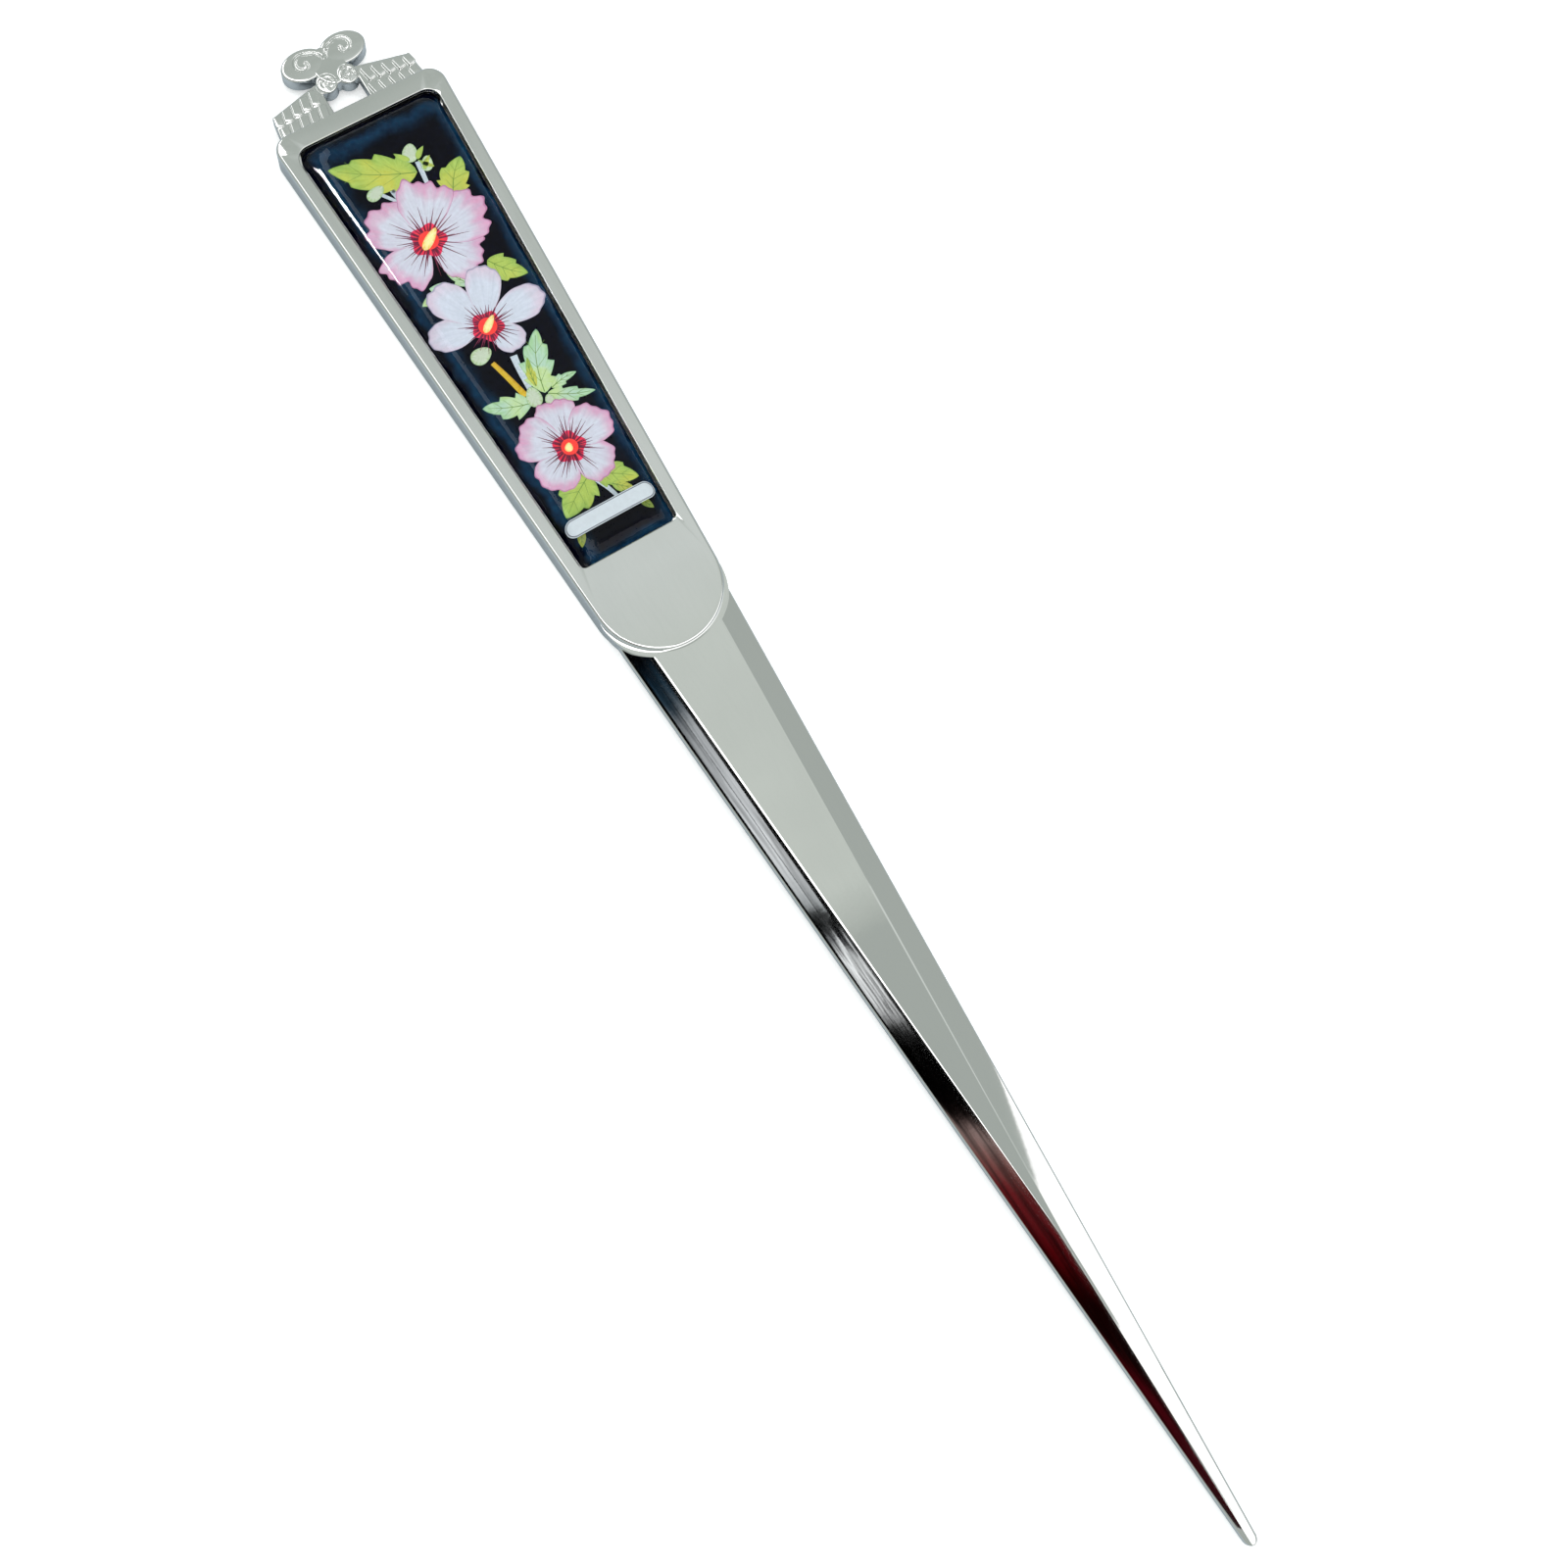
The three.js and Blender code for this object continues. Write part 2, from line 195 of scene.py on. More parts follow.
def flat_card(name, corners, height, bands, ragged=0.0, uneven=0.0, spots=28.0):
    """A flat card overhead that only mirrors see. Its glow runs through bands of (x in mm, colour)."""
    mesh = bpy.data.meshes.new(name)
    mesh.from_pydata([(x * MM, y * MM, height) for x, y in corners], [], [range(len(corners))])
    card = linked_object(name, mesh)
    material = bpy.data.materials.new(name)
    material.use_nodes = True
    tree = material.node_tree
    tree.nodes.clear()
    place = object_place(tree)
    cloud = noisy(tree, place, Scale=spots, Detail=4.0)
    moved = maths(tree, "MULTIPLY_ADD", cloud, 2 * ragged * MM, split(tree, place)["X"])
    first, last = bands[0][0], bands[-1][0]
    share = ranged(tree, moved, (first + ragged) * MM, (last + ragged + NO_WIDTH) * MM)
    ramp = tree.nodes.new("ShaderNodeValToRGB")
    ramp.color_ramp.elements.remove(ramp.color_ramp.elements[1])
    for number, (x, colour) in enumerate(bands):
        spot = (x - first) / max(last - first, NO_WIDTH)
        stop = ramp.color_ramp.elements[0] if number == 0 else ramp.color_ramp.elements.new(spot)
        stop.position = spot
        stop.color = (*colour, 1.0)
    wire(tree, share, ramp.inputs[0])
    strength = ranged(tree, cloud, 0.35, 0.65, To_Min=1 - uneven, To_Max=1 + uneven)
    glow = add_node(tree, "ShaderNodeEmission", Color=ramp.outputs[0], Strength=strength)
    add_node(tree, "ShaderNodeOutputMaterial", Surface=glow.outputs[0])
    mesh.materials.append(material)
    card.visible_camera = False
    card.visible_diffuse = False
    card.visible_transmission = False
    card.visible_shadow = False
    return card


def soft_lamp(name, place, target, width, height, power, seen_in_mirrors):
    data = bpy.data.lights.new(name, "AREA")
    data.shape = "RECTANGLE"
    data.size = width
    data.size_y = height
    data.energy = power
    lamp = linked_object(name, data)
    lamp.matrix_world = aim(Vector(place), Vector(target), Vector((0, 0.7, 0.7)))
    lamp.visible_glossy = seen_in_mirrors
    lamp.visible_camera = False
    return lamp


floor_mesh = bpy.data.meshes.new("floor")
half = FLOOR_SIDE / 2
floor_z = casting_low.z - FLOOR_GAP
floor_mesh.from_pydata(
    [(-half, -half, floor_z), (half, -half, floor_z), (half, half, floor_z), (-half, half, floor_z)],
    [], [(0, 1, 2, 3)],
)
floor = linked_object("floor", floor_mesh)
floor_paint = bpy.data.materials.new("pale_floor")
tree, shader = painted(floor_paint)
rays = tree.nodes.new("ShaderNodeLightPath").outputs
# Mirrors see the floor a darker blue-grey than the camera does: a painted shade that greys the floor's
# reflections in the casting's walls and edges.
shade = mixed_colour(tree, rays["Is Glossy Ray"], (0.86, 0.87, 0.88, 1), (0.41, 0.46, 0.51, 1))
fill(tree, shader, Roughness=0.9, Base_Color=shade, Emission_Color=(1, 1, 1, 1),
     Emission_Strength=ranged(tree, rays["Is Camera Ray"], 0.0, 1.0, To_Max=FLOOR_LIFT))
floor_mesh.materials.append(floor_paint)


def oblong(x_low, x_high, y_low, y_high):
    return [(x_low, y_low), (x_high, y_low), (x_high, y_high), (x_low, y_high)]


STRIP_GLOW = (2.2, 2.2, 2.2)
WINDOW_GLOW = (1.25, 1.25, 1.25)
flat_card("overhead_strip", oblong(-900, 900, -165, 30), CARD_HEIGHT, [(0, STRIP_GLOW)])
flat_card("pale_ceiling", oblong(-900, 46, 40, 420), CARD_HEIGHT,
          [(-380, (0.42, 0.46, 0.43)), (-130, (0.60, 0.64, 0.62)), (-90, (0.56, 0.60, 0.565)),
           (26, (0.56, 0.60, 0.56)), (46, (0.42, 0.455, 0.425))], ragged=9.0, uneven=0.03)
flat_card("window", [(150, 900), (225, 250), (250, 100), (330, -140), (1500, -140), (1500, 900)],
          CARD_HEIGHT, [(0, WINDOW_GLOW)])
flat_card("dark_person", oblong(-150, 362, -420, -175), CARD_HEIGHT, [(0, (0.0, 0.0, 0.0))])
NEARER = CARD_HEIGHT - 4 * MM
flat_card("edge_glow", oblong(34, 200, 190, 500), NEARER, [(0, (0.62, 0.66, 0.63))])
for low, high in ((-262, -200), (-336, -268)):
    flat_card("pale_sleeve", oblong(-78, 46, low, high), NEARER,
              [(-78, (0.002, 0.007, 0.014)), (-62, (0.01, 0.03, 0.05)), (-44, (0.40, 0.42, 0.44)),
               (20, (0.60, 0.62, 0.64)), (46, (0.30, 0.32, 0.33))], ragged=8.0, uneven=0.4)
flat_card("spotted_sleeve", oblong(58, 106, -336, -190), NEARER,
          [(58, (0.02, 0.02, 0.03)), (68, (0.55, 0.57, 0.58)), (96, (0.50, 0.51, 0.52)),
           (106, (0.01, 0.01, 0.01))], ragged=22.0, uneven=1.0, spots=60.0)
flat_card("red_cloth", oblong(150, 362, -420, -175), NEARER,
          [(150, (0.01, 0.005, 0.005)), (158, (0.20, 0.14, 0.13)), (172, (0.16, 0.06, 0.055)),
           (186, (0.09, 0.008, 0.01)), (216, (0.05, 0.001, 0.002)), (238, (0.006, 0.0, 0.0)),
           (262, (0.006, 0.001, 0.001)), (284, (0.04, 0.001, 0.003)), (330, (0.03, 0.002, 0.004)),
           (350, (0.01, 0.004, 0.004)), (362, (0.5, 0.5, 0.5))], ragged=8.0, uneven=0.6)
floor_lamp = soft_lamp("floor_light", (0.1, 0.1, 1.6), (0.05, 0, 0), 2.2, 2.2, 26, False)
floor_lamp.visible_transmission = False
window_lamps = [soft_lamp("side_window", (-0.87, -1.0, 1.13), (0, 0, 0), 0.35, 0.5, 75, True),
                soft_lamp("end_window", (1.3, 0.3, 1.0), (0, 0, 0), 0.3, 0.16, 18, True)]

world = bpy.data.worlds.new("room")
bpy.context.scene.world = world
world.use_nodes = True
CEILING = (0.39, 0.425, 0.40, 1.0)
fill(world.node_tree, world.node_tree.nodes["Background"], Color=CEILING, Strength=1.0)

# %% [markdown]
# ## The casting: handle, blade and crest
#
# The real one is a single zinc die casting, polished and bright plated, so the plating runs over every step
# without a seam. It could be made by subdivision modelling, but a mirror finish shows every dent in a
# surface, so it is built like the tool that cut the mould: stacked outlines for the handle, cross-sections
# from root to tip for the blade, and discs with an engraved spiral for the crest. Each is a closed solid and
# an exact boolean joins them. The edges are truly rounded in the mesh, because on bright plating it is the
# rounded edge that draws the white line.

# %% Outline helpers
MERGE_DISTANCE = 0.0005


def rounded_outline(corners, steps):
    """Points round a polygon whose corners (x, y, radius) are each rounded by their own radius."""
    points = []
    for index, (x, y, radius) in enumerate(corners):
        here = Vector((x, y))
        last = Vector(corners[index - 1][:2])
        after = Vector(corners[(index + 1) % len(corners)][:2])
        back = (last - here).normalized()
        ahead = (after - here).normalized()
        half_angle = math.acos(max(-1, min(1, back.dot(ahead)))) / 2
        inward = (back + ahead).normalized()
        centre = here + inward * (radius / math.sin(half_angle))
        half_turn = math.pi / 2 - half_angle
        toward = math.atan2(-inward.y, -inward.x)
        side = 1 if back.cross(ahead) > 0 else -1
        for step in range(steps + 1):
            angle = toward + side * half_turn * (1 - 2 * step / steps)
            points.append((centre.x + radius * math.cos(angle), centre.y + radius * math.sin(angle)))
    return points


def inset_ring(points, inset):
    """The same ring of points, each moved inwards along its own normal."""
    ring = np.array(points)
    along = np.roll(ring, -1, axis=0) - np.roll(ring, 1, axis=0)
    along /= np.linalg.norm(along, axis=1)[:, None]
    normal = np.column_stack((-along[:, 1], along[:, 0]))
    area = np.sum(ring[:, 0] * np.roll(ring[:, 1], -1) - np.roll(ring[:, 0], -1) * ring[:, 1])
    return ring + normal * np.asarray(inset, dtype=float).reshape(-1, 1) * np.sign(area)


def quarter_round(radius, steps):
    """Pairs of (inset, drop) from the flat face down a rounded edge to the wall."""
    turns = [math.pi / 2 * step / steps for step in range(steps + 1)]
    return [(radius * (1 - math.sin(turn)), radius * (1 - math.cos(turn))) for turn in turns]


def walled_rings(outline, radius, steps, low, high):
    """The rings of a slab from low to high whose bottom and top edges are rounded."""
    edge = quarter_round(radius, steps)
    rings = [(inset_ring(outline, inset), low + drop) for inset, drop in edge]
    return rings + [(inset_ring(outline, inset), high - drop) for inset, drop in reversed(edge)]


def new_row(mesh, points, heights):
    """A row of mesh points; points and heights are in mm."""
    heights = np.broadcast_to(heights, len(points))
    return [mesh.verts.new((x * MM, y * MM, z * MM)) for (x, y), z in zip(points, heights)]


def add_rings(mesh, rings, cap_first=True, cap_last=True):
    """Skin a row of rings, given as (points, heights), and close its ends."""
    rows = [new_row(mesh, points, heights) for points, heights in rings]
    count = len(rows[0])
    for lower, upper in zip(rows, rows[1:]):
        for i in range(count):
            after = (i + 1) % count
            mesh.faces.new((lower[i], lower[after], upper[after], upper[i]))
    if cap_first:
        mesh.faces.new(rows[0][::-1])
    if cap_last:
        mesh.faces.new(rows[-1])
    return rows


def finished_object(name, mesh):
    """Turn a bmesh into an object whose faces point outwards."""
    bmesh.ops.remove_doubles(mesh, verts=mesh.verts, dist=MERGE_DISTANCE * MM)
    bmesh.ops.recalc_face_normals(mesh, faces=mesh.faces)
    data = bpy.data.meshes.new(name)
    mesh.to_mesh(data)
    mesh.free()
    return linked_object(name, data)


# %% Handle
HANDLE_START = -36.05
HANDLE_LENGTH = 84.0
HANDLE_END = HANDLE_START + HANDLE_LENGTH
HANDLE_TOP_HALF = 12.3
HANDLE_END_HALF = 8.1
HANDLE_THICKNESS = 4.2
MIDDLE_Z = HANDLE_THICKNESS / 2
TOP_CORNER = 2.3
END_CORNER = 8.47
EDGE_ROUND = 0.4
EDGE_STEPS = 5
CORNER_STEPS = 32
HANDLE_TAPER = (HANDLE_TOP_HALF - HANDLE_END_HALF) / HANDLE_LENGTH

RECESS_HALF_LENGTH = 33.35
RIM_WIDTH = 1.9
RECESS_FLOOR = 2.0
RECESS_TOP_CORNER = 1.9
RECESS_END_CORNER = 0.9
RIM_ROUND = 0.14
RIM_STEPS = 3
SMALLEST_CORNER = 0.1


def handle_half_width(x):
    return HANDLE_TOP_HALF - (x - HANDLE_START) * HANDLE_TAPER


def panel_outline(inset, rounder=-1.0, steps=10):
    """The recess outline, brought in by inset, with its corner radii changed by rounder times inset."""
    start, end = -RECESS_HALF_LENGTH + inset, RECESS_HALF_LENGTH - inset
    start_half = handle_half_width(start) - RIM_WIDTH - inset
    end_half = handle_half_width(end) - RIM_WIDTH - inset
    top_corner = min(max(RECESS_TOP_CORNER + rounder * inset, SMALLEST_CORNER), 0.94 * start_half)
    end_corner = min(max(RECESS_END_CORNER + rounder * inset, SMALLEST_CORNER), 0.97 * end_half)
    return rounded_outline([
        (start, -start_half, top_corner), (end, -end_half, end_corner),
        (end, end_half, end_corner), (start, start_half, top_corner),
    ], steps)


handle_outline = rounded_outline([
    (HANDLE_START, -HANDLE_TOP_HALF, TOP_CORNER), (HANDLE_END, -HANDLE_END_HALF, END_CORNER),
    (HANDLE_END, HANDLE_END_HALF, END_CORNER), (HANDLE_START, HANDLE_TOP_HALF, TOP_CORNER),
], CORNER_STEPS)
rim = quarter_round(RIM_ROUND, RIM_STEPS)
handle_mesh = bmesh.new()
outer_rings = walled_rings(handle_outline, EDGE_ROUND, EDGE_STEPS, 0.0, HANDLE_THICKNESS)
outer_rows = add_rings(handle_mesh, outer_rings, cap_last=False)
recess_outline = panel_outline(0.0)
inner_rings = [(inset_ring(recess_outline, -inset), HANDLE_THICKNESS - drop) for inset, drop in rim]
inner_rings.append((recess_outline, RECESS_FLOOR))
inner_rows = add_rings(handle_mesh, inner_rings, cap_first=False)
lips = [handle_mesh.edges.get((row[i], row[(i + 1) % len(row)]))
        for row in (outer_rows[-1], inner_rows[0]) for i in range(len(row))]
bmesh.ops.triangle_fill(handle_mesh, edges=lips, use_beauty=True)
casting = finished_object("plated_casting", handle_mesh)
print("handle faces", len(casting.data.polygons), "width at the top", 2 * HANDLE_TOP_HALF, "mm")

# %% Blade
BLADE_LENGTH = 125.8
BLADE_ROOT_HALF = 7.75
BLADE_TIP_HALF = 0.8
BLADE_HALF_THICKNESS = 1.4
BLADE_EDGE_HALF = 0.5
BEVEL_WIDTH = 2.92
RIDGE_HALF = 0.15
BLADE_OVERLAP = 9.0
ARRIS_ROUND = 1.3
LAND_ROUND = 0.3
BEVEL_CROWN = 0.04
BEVEL_STEPS = 9
ROUND_STEPS = 5
BLADE_STATIONS = 70
TIP_STATIONS = 10
TIP_BLUNT = 0.05
TIP_X = HANDLE_END + BLADE_LENGTH
BLADE_TAPER = (BLADE_ROOT_HALF - BLADE_TIP_HALF) / BLADE_LENGTH


def blade_section(x):
    """One cross-section: flat, bevel and thin edge land, with every corner a little rounded."""
    straight = BLADE_ROOT_HALF - (x - HANDLE_END) * BLADE_TAPER
    past = x - (TIP_X - BLADE_TIP_HALF)
    half = straight if past <= 0 else math.sqrt(max(BLADE_TIP_HALF ** 2 - past ** 2, TIP_BLUNT ** 2))
    flat = max(half - BEVEL_WIDTH, min(RIDGE_HALF, half / 2))
    slope = (BLADE_HALF_THICKNESS - BLADE_EDGE_HALF) / BEVEL_WIDTH
    face = BLADE_EDGE_HALF + (half - flat) * slope
    arris = min(ARRIS_ROUND, 0.45 * flat)
    land = min(LAND_ROUND, 0.45 * half)
    corners = [
        (half, -BLADE_EDGE_HALF, land), (half, BLADE_EDGE_HALF, land), (flat, face, arris),
        (-flat, face, arris), (-half, BLADE_EDGE_HALF, land), (-half, -BLADE_EDGE_HALF, land),
        (-flat, -face, arris), (flat, -face, arris),
    ]
    rounded = rounded_outline(corners, ROUND_STEPS)
    block = ROUND_STEPS + 1
    section = []
    for corner in range(len(corners)):
        section += rounded[corner * block:(corner + 1) * block]
        if corner % 2 == 0:
            continue
        start = np.array(section[-1])
        run = np.array(rounded[(corner + 1) * block % len(rounded)]) - start
        outward = np.array((run[1], -run[0])) / np.linalg.norm(run)
        crown = BEVEL_CROWN * min(1.0, half / BEVEL_WIDTH)
        for u in np.linspace(0, 1, BEVEL_STEPS + 2)[1:-1]:
            section.append(tuple(start + run * u + outward * crown * 4 * u * (1 - u)))
    return section


stations = list(np.linspace(HANDLE_END - BLADE_OVERLAP, TIP_X - BLADE_TIP_HALF, BLADE_STATIONS))
stations += [TIP_X - BLADE_TIP_HALF * (1 - math.sin(math.pi / 2 * step / TIP_STATIONS))
             for step in range(1, TIP_STATIONS + 1)]
blade_mesh = bmesh.new()
blade_rows = []
for x in stations:
    section = blade_section(x)
    blade_rows.append([blade_mesh.verts.new((x * MM, y * MM, (MIDDLE_Z + z) * MM)) for y, z in section])
for row, after in zip(blade_rows, blade_rows[1:]):
    for i in range(len(row)):
        j = (i + 1) % len(row)
        blade_mesh.faces.new((row[i], row[j], after[j], after[i]))
blade_mesh.faces.new(blade_rows[0])
blade_mesh.faces.new(blade_rows[-1])
blade = finished_object("blade", blade_mesh)
print("blade faces", len(blade.data.polygons), "tip at", round(TIP_X, 2), "mm")

# %% Cove under the handle's end
COVE_REACH = 0.8
COVE_FROM = 40.0
COVE_FULL = 45.0
COVE_LOW = 1.5
COVE_BACK = 37.0
COVE_BACK_HALF = 6.0
COVE_FOOT = 3.49
COVE_HEIGHT = 0.08
COVE_SINK = 0.05
COVE_STEPS = 6
corner_points = CORNER_STEPS + 1
handle_round_end = handle_outline[corner_points:3 * corner_points]
tongue = [(COVE_BACK, -COVE_BACK_HALF), *handle_round_end, (COVE_BACK, COVE_BACK_HALF)]
reach = COVE_REACH * np.clip((np.array(tongue)[:, 0] - COVE_FROM) / (COVE_FULL - COVE_FROM), 0, 1)
cove_rings = [(inset_ring(tongue, COVE_SINK - reach), COVE_LOW)]
for step in range(COVE_STEPS + 1):
    turn = math.pi / 2 * step / COVE_STEPS
    ring = inset_ring(tongue, COVE_SINK - reach * (1 - math.sin(turn)))
    cove_rings.append((ring, COVE_FOOT + COVE_HEIGHT * (1 - math.cos(turn))))
cove_mesh = bmesh.new()
add_rings(cove_mesh, cove_rings)
cove = finished_object("cove", cove_mesh)
print("cove faces", len(cove.data.polygons))

# %% [markdown]
# ## Crest
#
# Two big scrolls with a small curl under each, over an opening, between two wings of roof tiles. The
# scrolls and curls are discs made of rings, and the engraved spiral is pressed into the dense top by moving
# each point down where it is near the spiral's line. The tiles are one small rounded block repeated in rows
# that follow the wing's slope, which is a rule, so Geometry Nodes lay them.

# %% Engraved discs
CREST_LOW = 0.95
CREST_TOP = 3.25
CREST_EDGE = 0.3
GROOVE_DEPTH = 0.24
GROOVE_HALF = 0.19
DISC_RINGS = 52
DISC_SPOKES = 168


def spiral_line(centre_x, centre_y, side, first, last, radii, steps=90):
    """Points along a spiral whose angle goes from first to last, in degrees, through these radii."""
    share = np.linspace(0, 1, steps)
    angle = np.radians(first + (last - first) * share)
    radius = np.interp(share, np.linspace(0, 1, len(radii)), radii)
    return np.column_stack((centre_x + radius * np.cos(angle), centre_y + side * radius * np.sin(angle)))


def pressed_in(points, lines, half_width, depth):
    """How far each point sinks: a soft-edged groove along the lines."""
    nearest = np.full(len(points), 9.0)
    for line in lines:
        gaps = np.linalg.norm(points[:, None, :] - line[None, :, :], axis=2).min(axis=1)
        nearest = np.minimum(nearest, gaps)
    groove = np.clip(1.6 - nearest / half_width, 0, 1)
    return depth * groove ** 2 * (3 - 2 * groove)


def engraved_disc(name, centre, half_x, half_y, lift, lines, crown):
    """A closed disc with rounded edges, a slightly crowned top and grooves along the lines."""
    mesh = bmesh.new()
    turn = np.linspace(0, 2 * math.pi, DISC_SPOKES, endpoint=False)
    circle = np.column_stack((np.cos(turn) * half_x, np.sin(turn) * half_y))
    rings = []
    for share in np.linspace(0.02, 1, DISC_RINGS):
        points = np.array(centre) + circle * share * (1 - CREST_EDGE / min(half_x, half_y))
        fade = np.clip((1 - share) * 9, 0, 1)
        heights = CREST_TOP + lift + crown * (1 - share ** 2)
        rings.append((points, heights - pressed_in(points, lines, GROOVE_HALF, GROOVE_DEPTH) * fade))
    full = np.array(centre) + circle
    for inset, drop in quarter_round(CREST_EDGE, EDGE_STEPS)[1:]:
        rings.append((inset_ring(full, inset), CREST_TOP + lift - drop))
    for inset, drop in reversed(quarter_round(CREST_EDGE, EDGE_STEPS)):
        rings.append((inset_ring(full, inset), CREST_LOW + drop))
    add_rings(mesh, rings)
    return finished_object(name, mesh)


SCROLL_CENTRE = (-44.25, 2.8)
SCROLL_HALVES = (2.25, 3.15)
SCROLL_CROWN = 0.05
SCROLL_EYE = (-44.35, 2.9)
SCROLL_RADII = (0.4, 0.7, 0.8, 0.93, 1.1, 1.28, 1.55, 2.8)
CURL_CENTRE = (-40.6, 1.5)
CURL_HALVES = (1.45, 1.45)
CURL_LIFT = 0.02
CURL_CROWN = 0.12
WEB_CENTRE = (-42.73, 0.0)
WEB_HALVES = (2.85, 2.3)
WEB_LIFT = 0.01
crest_parts = []
all_lines = []
for side in (-1, 1):
    (scroll_x, scroll_y), (eye_x, eye_y), (curl_x, curl_y) = SCROLL_CENTRE, SCROLL_EYE, CURL_CENTRE
    scroll_line = spiral_line(eye_x, side * eye_y, side, -80, 278, SCROLL_RADII)
    crest_parts.append(engraved_disc("scroll", (scroll_x, side * scroll_y), *SCROLL_HALVES, 0.0,
                                     [scroll_line], SCROLL_CROWN))
    curl_ring = spiral_line(curl_x, side * curl_y, side, 60, 345, (1.0, 1.02, 1.0))
    curl_eye = spiral_line(curl_x + 0.05, side * curl_y, side, 0, 330, (0.42, 0.5, 0.3))
    crest_parts.append(engraved_disc("curl", (curl_x, side * curl_y), *CURL_HALVES, CURL_LIFT,
                                     [curl_ring, curl_eye], CURL_CROWN))
    all_lines += [scroll_line, curl_ring]
crest_parts.append(engraved_disc("web", WEB_CENTRE, *WEB_HALVES, WEB_LIFT, all_lines, 0.0))
print("crest discs", len(crest_parts))

# %% Wings
WING_INNER = 2.6
WING_OUTER = 10.0
WING_FLARE = 0.6
WING_INNER_HEIGHT = 5.3
WING_OUTER_HEIGHT = 3.6
WING_TOP = 2.86
WING_LOW = 1.15
WING_CORNER = 0.35
WING_EDGE = 0.2
WING_STEPS = 3
WING_CORNER_STEPS = 4
WING_ROOT = HANDLE_START + EDGE_ROUND + 0.3

for side in (-1, 1):
    wing_outline = rounded_outline([
        (WING_ROOT, side * WING_INNER, WING_CORNER),
        (WING_ROOT, side * (WING_OUTER + WING_FLARE), WING_CORNER),
        (HANDLE_START - WING_OUTER_HEIGHT, side * WING_OUTER, WING_CORNER),
        (HANDLE_START - WING_INNER_HEIGHT, side * WING_INNER, WING_CORNER),
    ], WING_CORNER_STEPS)
    wing_mesh = bmesh.new()
    add_rings(wing_mesh, walled_rings(wing_outline, WING_EDGE, WING_STEPS, WING_LOW, WING_TOP))
    crest_parts.append(finished_object("wing", wing_mesh))

# %% One roof tile
TILE_ROUND = 0.16
tile_mesh = bmesh.new()
bmesh.ops.create_cube(tile_mesh, size=1.0)
bmesh.ops.bevel(tile_mesh, geom=tile_mesh.edges[:], offset=TILE_ROUND, segments=4, profile=0.5,
                affect="EDGES")
tile_data = bpy.data.meshes.new("tile")
tile_mesh.to_mesh(tile_data)
tile_mesh.free()
tile = bpy.data.objects.new("tile", tile_data)
print("tile faces", len(tile_data.polygons))


# %% Helpers for Geometry Nodes trees
def node_tree(name, inputs):
    """A geometry tree with a Geometry output and inputs, given as socket kind: names."""
    tree = bpy.data.node_groups.new(name, "GeometryNodeTree")
    tree.interface.new_socket("Geometry", in_out="OUTPUT", socket_type="NodeSocketGeometry")
    tree.interface.new_socket("Geometry", in_out="INPUT", socket_type="NodeSocketGeometry")
    for kind, labels in inputs.items():
        for label in labels:
            tree.interface.new_socket(label, in_out="INPUT", socket_type="NodeSocket" + kind)
    tree.nodes.new("NodeGroupInput").name = "in"
    tree.nodes.new("NodeGroupOutput").name = "out"
    return tree


def xyz_node(tree, x, y, z):
    return add_node(tree, "ShaderNodeCombineXYZ", X=x, Y=y, Z=z).outputs[0]


def lay_copies(tree, given, thing, count, position, rotation, scale):
    """End a tree: copies of an object on count points, each placed, turned and scaled, as one mesh."""
    points = add_node(tree, "GeometryNodeMeshLine", Count=count)
    spread = add_node(tree, "GeometryNodeSetPosition", Geometry=points.outputs[0], Position=position)
    copied = add_node(tree, "GeometryNodeObjectInfo", Object=given[thing])
    laid = add_node(tree, "GeometryNodeInstanceOnPoints", Points=spread.outputs[0],
                    Instance=copied.outputs["Geometry"], Rotation=rotation, Scale=scale)
    real = add_node(tree, "GeometryNodeRealizeInstances", Geometry=laid.outputs[0])
    coat = add_node(tree, "GeometryNodeSetMaterial", Geometry=real.outputs[0], Material=given["Material"])
    wire(tree, coat.outputs[0], tree.nodes["out"].inputs[0])


def grown_object(name, tree, values):
    """Run a tree on an empty mesh with these input values, and keep the result as a plain mesh."""
    holder = linked_object(name + "_maker", bpy.data.meshes.new(name + "_maker"))
    modifier = holder.modifiers.new(name, "NODES")
    modifier.node_group = tree
    for item in tree.interface.items_tree:
        if item.in_out == "INPUT" and item.name in values:
            modifier[item.identifier] = values[item.name]
    graph = bpy.context.evaluated_depsgraph_get()
    data = bpy.data.meshes.new_from_object(holder.evaluated_get(graph), depsgraph=graph)
    holder.modifiers.remove(modifier)
    bpy.data.objects.remove(holder)
    data.name = name
    data.materials.clear()
    data.materials.append(values["Material"])
    data.polygons.foreach_set("material_index", [0] * len(data.polygons))
    return linked_object(name, data)


# %% The tree that lays the tiles
tile_tree = node_tree("roof_tiles", {
    "Object": ["Tile"], "Int": ["Rows", "Columns"],
    "Float": ["Side", "Pitch", "Inner Edge", "Inner Height", "Outer Height", "Gap", "Lean", "Thickness",
              "Middle Height", "Base"],
    "Material": ["Material"],
})
given = tile_tree.nodes["in"].outputs
calc = partial(maths, tile_tree)
index = tile_tree.nodes.new("GeometryNodeInputIndex").outputs[0]
row = calc("FLOORED_MODULO", index, given["Rows"])
column = calc("FLOOR", calc("DIVIDE", index, given["Rows"]))
along = calc("DIVIDE", calc("ADD", column, 0.5), given["Columns"])
drop = calc("SUBTRACT", given["Outer Height"], given["Inner Height"])
row_height = calc("DIVIDE", calc("MULTIPLY_ADD", drop, along, given["Inner Height"]), given["Rows"])
up = calc("MULTIPLY", calc("ADD", row, 0.5), row_height)
out = calc("MULTIPLY_ADD", calc("ADD", column, 0.5), given["Pitch"], given["Inner Edge"])
out = calc("MULTIPLY_ADD", up, given["Lean"], out)
